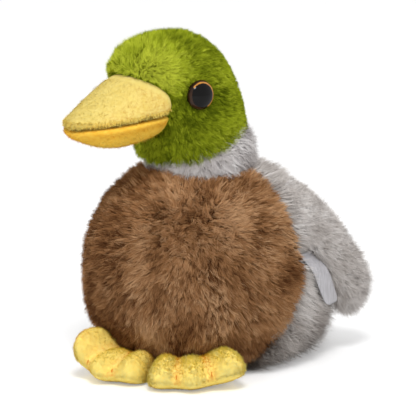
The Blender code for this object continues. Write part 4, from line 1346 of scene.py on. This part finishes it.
def make_ribbon():
    """The blank satin ribbon, hung along the body from the left seam."""

    def place(point):
        share = point.x / RIBBON_LENGTH
        end = max(0.0, (point.x - RIBBON_LENGTH + RIBBON_CORNER) / RIBBON_CORNER)
        narrow = 1 - RIBBON_NARROW * (1 - math.sqrt(max(0.0, 1 - end * end)))
        across = RIBBON_WIDTH / 2 + (point.y - RIBBON_WIDTH / 2) * narrow
        length = SEAM + RIBBON_START + point.x * math.sin(RIBBON_SLANT) + across
        angle = RIBBON_START_ANGLE - point.x * math.cos(RIBBON_SLANT) / WING_WRAP_RADIUS
        proud = RIBBON_PROUD * smoothstep(share * 3) + RIBBON_TILT * across / RIBBON_WIDTH * smoothstep(share * 2)
        return on_body(length, angle, JOINT_GAP + RIBBON_LIFT * share * share + proud + point.z)

    mesh = bent_mesh("ribbon", (0, 0, 0), (RIBBON_LENGTH, RIBBON_WIDTH, RIBBON_THICKNESS), (30, 14), place)
    ribbon = show("side_ribbon_satin", mesh, "body", [SATIN], "satin_ribbon", ["side_ribbon"])


def thread(points, radius, steps=8):
    """A round thread through points."""
    curve = bpy.data.curves.new("thread", "CURVE")
    curve.dimensions = "3D"
    curve.bevel_depth = radius
    curve.bevel_resolution = 3
    curve.use_fill_caps = True
    line = curve.splines.new("POLY")
    line.points.add(len(points) - 1)
    for spot, point in zip(line.points, points):
        spot.co = (*point, 1.0)
    piece = bpy.data.objects.new("thread", curve)
    bpy.context.scene.collection.objects.link(piece)
    return finished(piece)


def satin_material():
    """Pale satin with fine threads along it."""
    made, tree, shader = new_material("satin", 0.42, 0.1, 0.3)
    place = tree.nodes.new("ShaderNodeTexCoord").outputs["Object"]
    value = noise_value(tree, place, 900.0, 2.0, (1.0, 1.0, 0.15))
    tree.links.new(ramp(tree, value, [(0.3, srgb(156, 153, 156)), (0.7, srgb(182, 180, 184))]),
                   shader.inputs["Base Color"])
    bumped(tree, shader, value, 0.3, 0.0001)
    return made


def plastic_material(name, dark, light, roughness, scale=300.0, specular=0.5):
    """Moulded plastic with faint mottling."""
    made, tree, shader = new_material(name, roughness, 0.0, specular)
    place = tree.nodes.new("ShaderNodeTexCoord").outputs["Object"]
    value = noise_value(tree, place, scale, 2.0)
    tree.links.new(ramp(tree, value, [(0.3, dark), (0.7, light)]), shader.inputs["Base Color"])
    return made


def thread_material():
    """Orange sewing thread."""
    made, tree, shader = new_material("thread", 0.6, 0.2)
    place = tree.nodes.new("ShaderNodeTexCoord").outputs["Object"]
    value = noise_value(tree, place, 2500.0, 2.0)
    tree.links.new(ramp(tree, value, [(0.3, srgb(196, 116, 20)), (0.7, srgb(226, 150, 44))]),
                   shader.inputs["Base Color"])
    return made


# Each pile's last colour is what its strands are darkened by at the root: painted shade deep in the pile.
BROWN_PILE = pile_material("brown_pile", [srgb(92, 56, 32), srgb(174, 126, 84), srgb(218, 174, 130)], (0.6, 0.55, 0.5))
GREY_PILE = pile_material("grey_pile", [srgb(152, 142, 135), srgb(222, 215, 210), srgb(252, 249, 247)], (0.66, 0.64, 0.62))
BAND_PILE = pile_material("band_pile", [srgb(196, 188, 184), srgb(228, 223, 222), srgb(248, 246, 246)], (0.8, 0.78, 0.76))
GREEN_PILE = pile_material("green_pile", [srgb(84, 98, 14), srgb(170, 184, 40), srgb(222, 230, 76)], (0.6, 0.6, 0.5))
YELLOW_NAP = pile_material("yellow_nap", [srgb(252, 164, 24), srgb(255, 240, 146), srgb(255, 250, 200)], (1.0, 0.98, 0.9))
BEAK_NAP = pile_material("beak_nap", [srgb(222, 146, 20), srgb(226, 210, 124), srgb(240, 228, 170)], (1.0, 0.98, 0.9))
ORANGE_NAP = pile_material("orange_nap", [srgb(246, 166, 30), srgb(244, 216, 98), srgb(250, 232, 140)], (1.0, 0.98, 0.9))
LIP_NAP = pile_material("lip_nap", [srgb(244, 190, 60), srgb(246, 222, 116), srgb(252, 238, 160)], (1.0, 0.94, 0.8))
LINING_NAP = pile_material("lining_nap", [srgb(160, 154, 150), srgb(196, 190, 186), srgb(220, 214, 211)], (0.8, 0.8, 0.8))
# The grounds under the long piles are painted darker than their piles, as the shade among the roots.
BROWN_SHADED_GROUND = ground_material("brown_shaded_ground", srgb(84, 54, 32), srgb(112, 74, 48), 180.0)
GREY_SHADED_GROUND = ground_material("grey_shaded_ground", srgb(150, 143, 139), srgb(182, 176, 172), 180.0)
BAND_SHADED_GROUND = ground_material("band_shaded_ground", srgb(180, 174, 170), srgb(206, 200, 197), 180.0)
GREEN_SHADED_GROUND = ground_material("green_shaded_ground", srgb(76, 88, 6), srgb(106, 120, 16), 180.0)
YELLOW_GROUND = ground_material("yellow_ground", srgb(255, 226, 116), srgb(255, 236, 140), 420.0, bump=0.0001)
BEAK_GROUND = ground_material("beak_ground", srgb(222, 198, 108), srgb(228, 208, 126), 420.0, bump=0.0001)
ORANGE_GROUND = ground_material("orange_ground", srgb(240, 190, 66), srgb(244, 204, 84), 420.0, bump=0.0001)
STUFFING = ground_material("fill", srgb(222, 222, 220), srgb(240, 240, 238), 220.0)
WASHER = plastic_material("washer", srgb(214, 214, 210), srgb(232, 232, 228), 0.45)
PUPIL = plastic_material("pupil", srgb(6, 5, 5), srgb(11, 9, 8), 0.02, specular=0.15)
AMBER = plastic_material("amber", srgb(150, 90, 26), srgb(212, 150, 66), 0.05, 120.0, 0.2)
# The rim's dark plastic, which also paints the shaded side of the eye's ring.
EYE_RIM_AND_SHADE = plastic_material("eye_rim_and_shade", srgb(34, 20, 12), srgb(56, 34, 18), 0.1, specular=0.2)
SATIN = satin_material()
THREAD = thread_material()

EYES = eye_places()
make_body()
make_neck()
make_head(EYES)
make_beak()
make_eyes(EYES)
make_wings()
make_tail()
make_foot(1, "left", 71)
make_foot(-1, "right", 75)
make_ribbon()

# --- studio -----------------------------------------------------------------------------------------------


def seen_share(tree, share):
    """share where the camera, a reflection or a refraction looks, and 0 for other light."""
    path = tree.nodes.new("ShaderNodeLightPath")
    seen = path.outputs["Is Camera Ray"]
    for other in ("Is Glossy Ray", "Is Transmission Ray"):
        either = tree.nodes.new("ShaderNodeMath")
        either.operation = "MAXIMUM"
        tree.links.new(seen, either.inputs[0])
        tree.links.new(path.outputs[other], either.inputs[1])
        seen = either.outputs["Value"]
    scaled = tree.nodes.new("ShaderNodeMath")
    scaled.operation = "MULTIPLY"
    scaled.inputs[1].default_value = share
    tree.links.new(seen, scaled.inputs[0])
    return scaled.outputs["Value"]


def white_where_seen(tree, lit, output):
    """Turns a surface into a strength 1 white where it is seen."""
    white = tree.nodes.new("ShaderNodeEmission")
    white.inputs["Color"].default_value = (1, 1, 1, 1)
    mixed = tree.nodes.new("ShaderNodeMixShader")
    tree.links.new(seen_share(tree, 1.0), mixed.inputs["Fac"])
    tree.links.new(lit, mixed.inputs[1])
    tree.links.new(white.outputs["Emission"], mixed.inputs[2])
    tree.links.new(mixed.outputs["Shader"], output)


def add_seen_white(tree, lit, output, share):
    """Adds a share of white to a lit surface where it is seen, so that it is white and keeps a soft shadow."""
    white = tree.nodes.new("ShaderNodeEmission")
    white.inputs["Color"].default_value = (1, 1, 1, 1)
    tree.links.new(seen_share(tree, share), white.inputs["Strength"])
    both = tree.nodes.new("ShaderNodeAddShader")
    tree.links.new(lit, both.inputs[0])
    tree.links.new(white.outputs["Emission"], both.inputs[1])
    tree.links.new(both.outputs["Shader"], output)


def make_floor():
    """A pale floor that keeps the soft shadow."""
    mesh = bpy.data.meshes.new("floor")
    reach = 6.0
    mesh.from_pydata([(-reach, -reach, 0), (reach, -reach, 0), (reach, reach, 0), (-reach, reach, 0)], [], [(0, 1, 2, 3)])
    floor = bpy.data.objects.new("floor", mesh)
    bpy.context.scene.collection.objects.link(floor)
    made, tree, shader = new_material("floor", 0.9)
    place = tree.nodes.new("ShaderNodeTexCoord").outputs["Object"]
    value = noise_value(tree, place, 40.0)
    tree.links.new(ramp(tree, value, [(0.3, 0.86), (0.7, 0.88)]), shader.inputs["Base Color"])
    output = tree.nodes["Material Output"].inputs["Surface"]
    add_seen_white(tree, shader.outputs["BSDF"], output, FLOOR_WHITE)
    mesh.materials.append(made)


def make_world():
    """White where it is seen, and an even fill elsewhere."""
    world = bpy.data.worlds.new("studio")
    bpy.context.scene.world = world
    world.use_nodes = True
    tree = world.node_tree
    background = tree.nodes["Background"]
    background.inputs["Color"].default_value = (1, 1, 1, 1)
    background.inputs["Strength"].default_value = FILL_STRENGTH
    white_where_seen(tree, background.outputs["Background"], tree.nodes["World Output"].inputs["Surface"])


def add_lamp(name, place, target, size, power):
    """A soft square lamp that looks at a point."""
    lamp = bpy.data.lights.new(name, "AREA")
    lamp.shape = "SQUARE"
    lamp.size = size
    lamp.energy = power
    light = bpy.data.objects.new(name, lamp)
    bpy.context.scene.collection.objects.link(light)
    light.location = place
    light.rotation_euler = (Vector(target) - Vector(place)).to_track_quat("-Z", "Y").to_euler()
    return light


def make_camera():
    """The photograph's view: from the front left and a little above."""
    camera = bpy.data.objects.new("camera", bpy.data.cameras.new("camera"))
    bpy.context.scene.collection.objects.link(camera)
    azimuth, elevation = CAMERA_ANGLES
    back = Vector((
        math.sin(azimuth) * math.cos(elevation), -math.cos(azimuth) * math.cos(elevation), math.sin(elevation)
    ))
    camera.location = Vector(CAMERA_TARGET) + back * CAMERA_DISTANCE
    camera.rotation_euler = (-back).to_track_quat("-Z", "Y").to_euler()
    camera.data.sensor_width = 36.0
    camera.data.lens = CAMERA_LENS
    camera.data.clip_end = 20.0
    bpy.context.scene.camera = camera


CAMERA_TARGET = (0.0088, -0.0174, 0.0817)
CAMERA_ANGLES = (math.radians(32), math.radians(10))
CAMERA_DISTANCE = 1.6
CAMERA_LENS = 271.5
FLOOR_WHITE = 0.27
FILL_STRENGTH = 0.78

make_floor()
make_world()
add_lamp("key", (0.66, -0.99, 1.34), (0, 0, 0.08), 0.42, 16.5)
make_camera()
bpy.context.scene.view_settings.view_transform = "Standard"
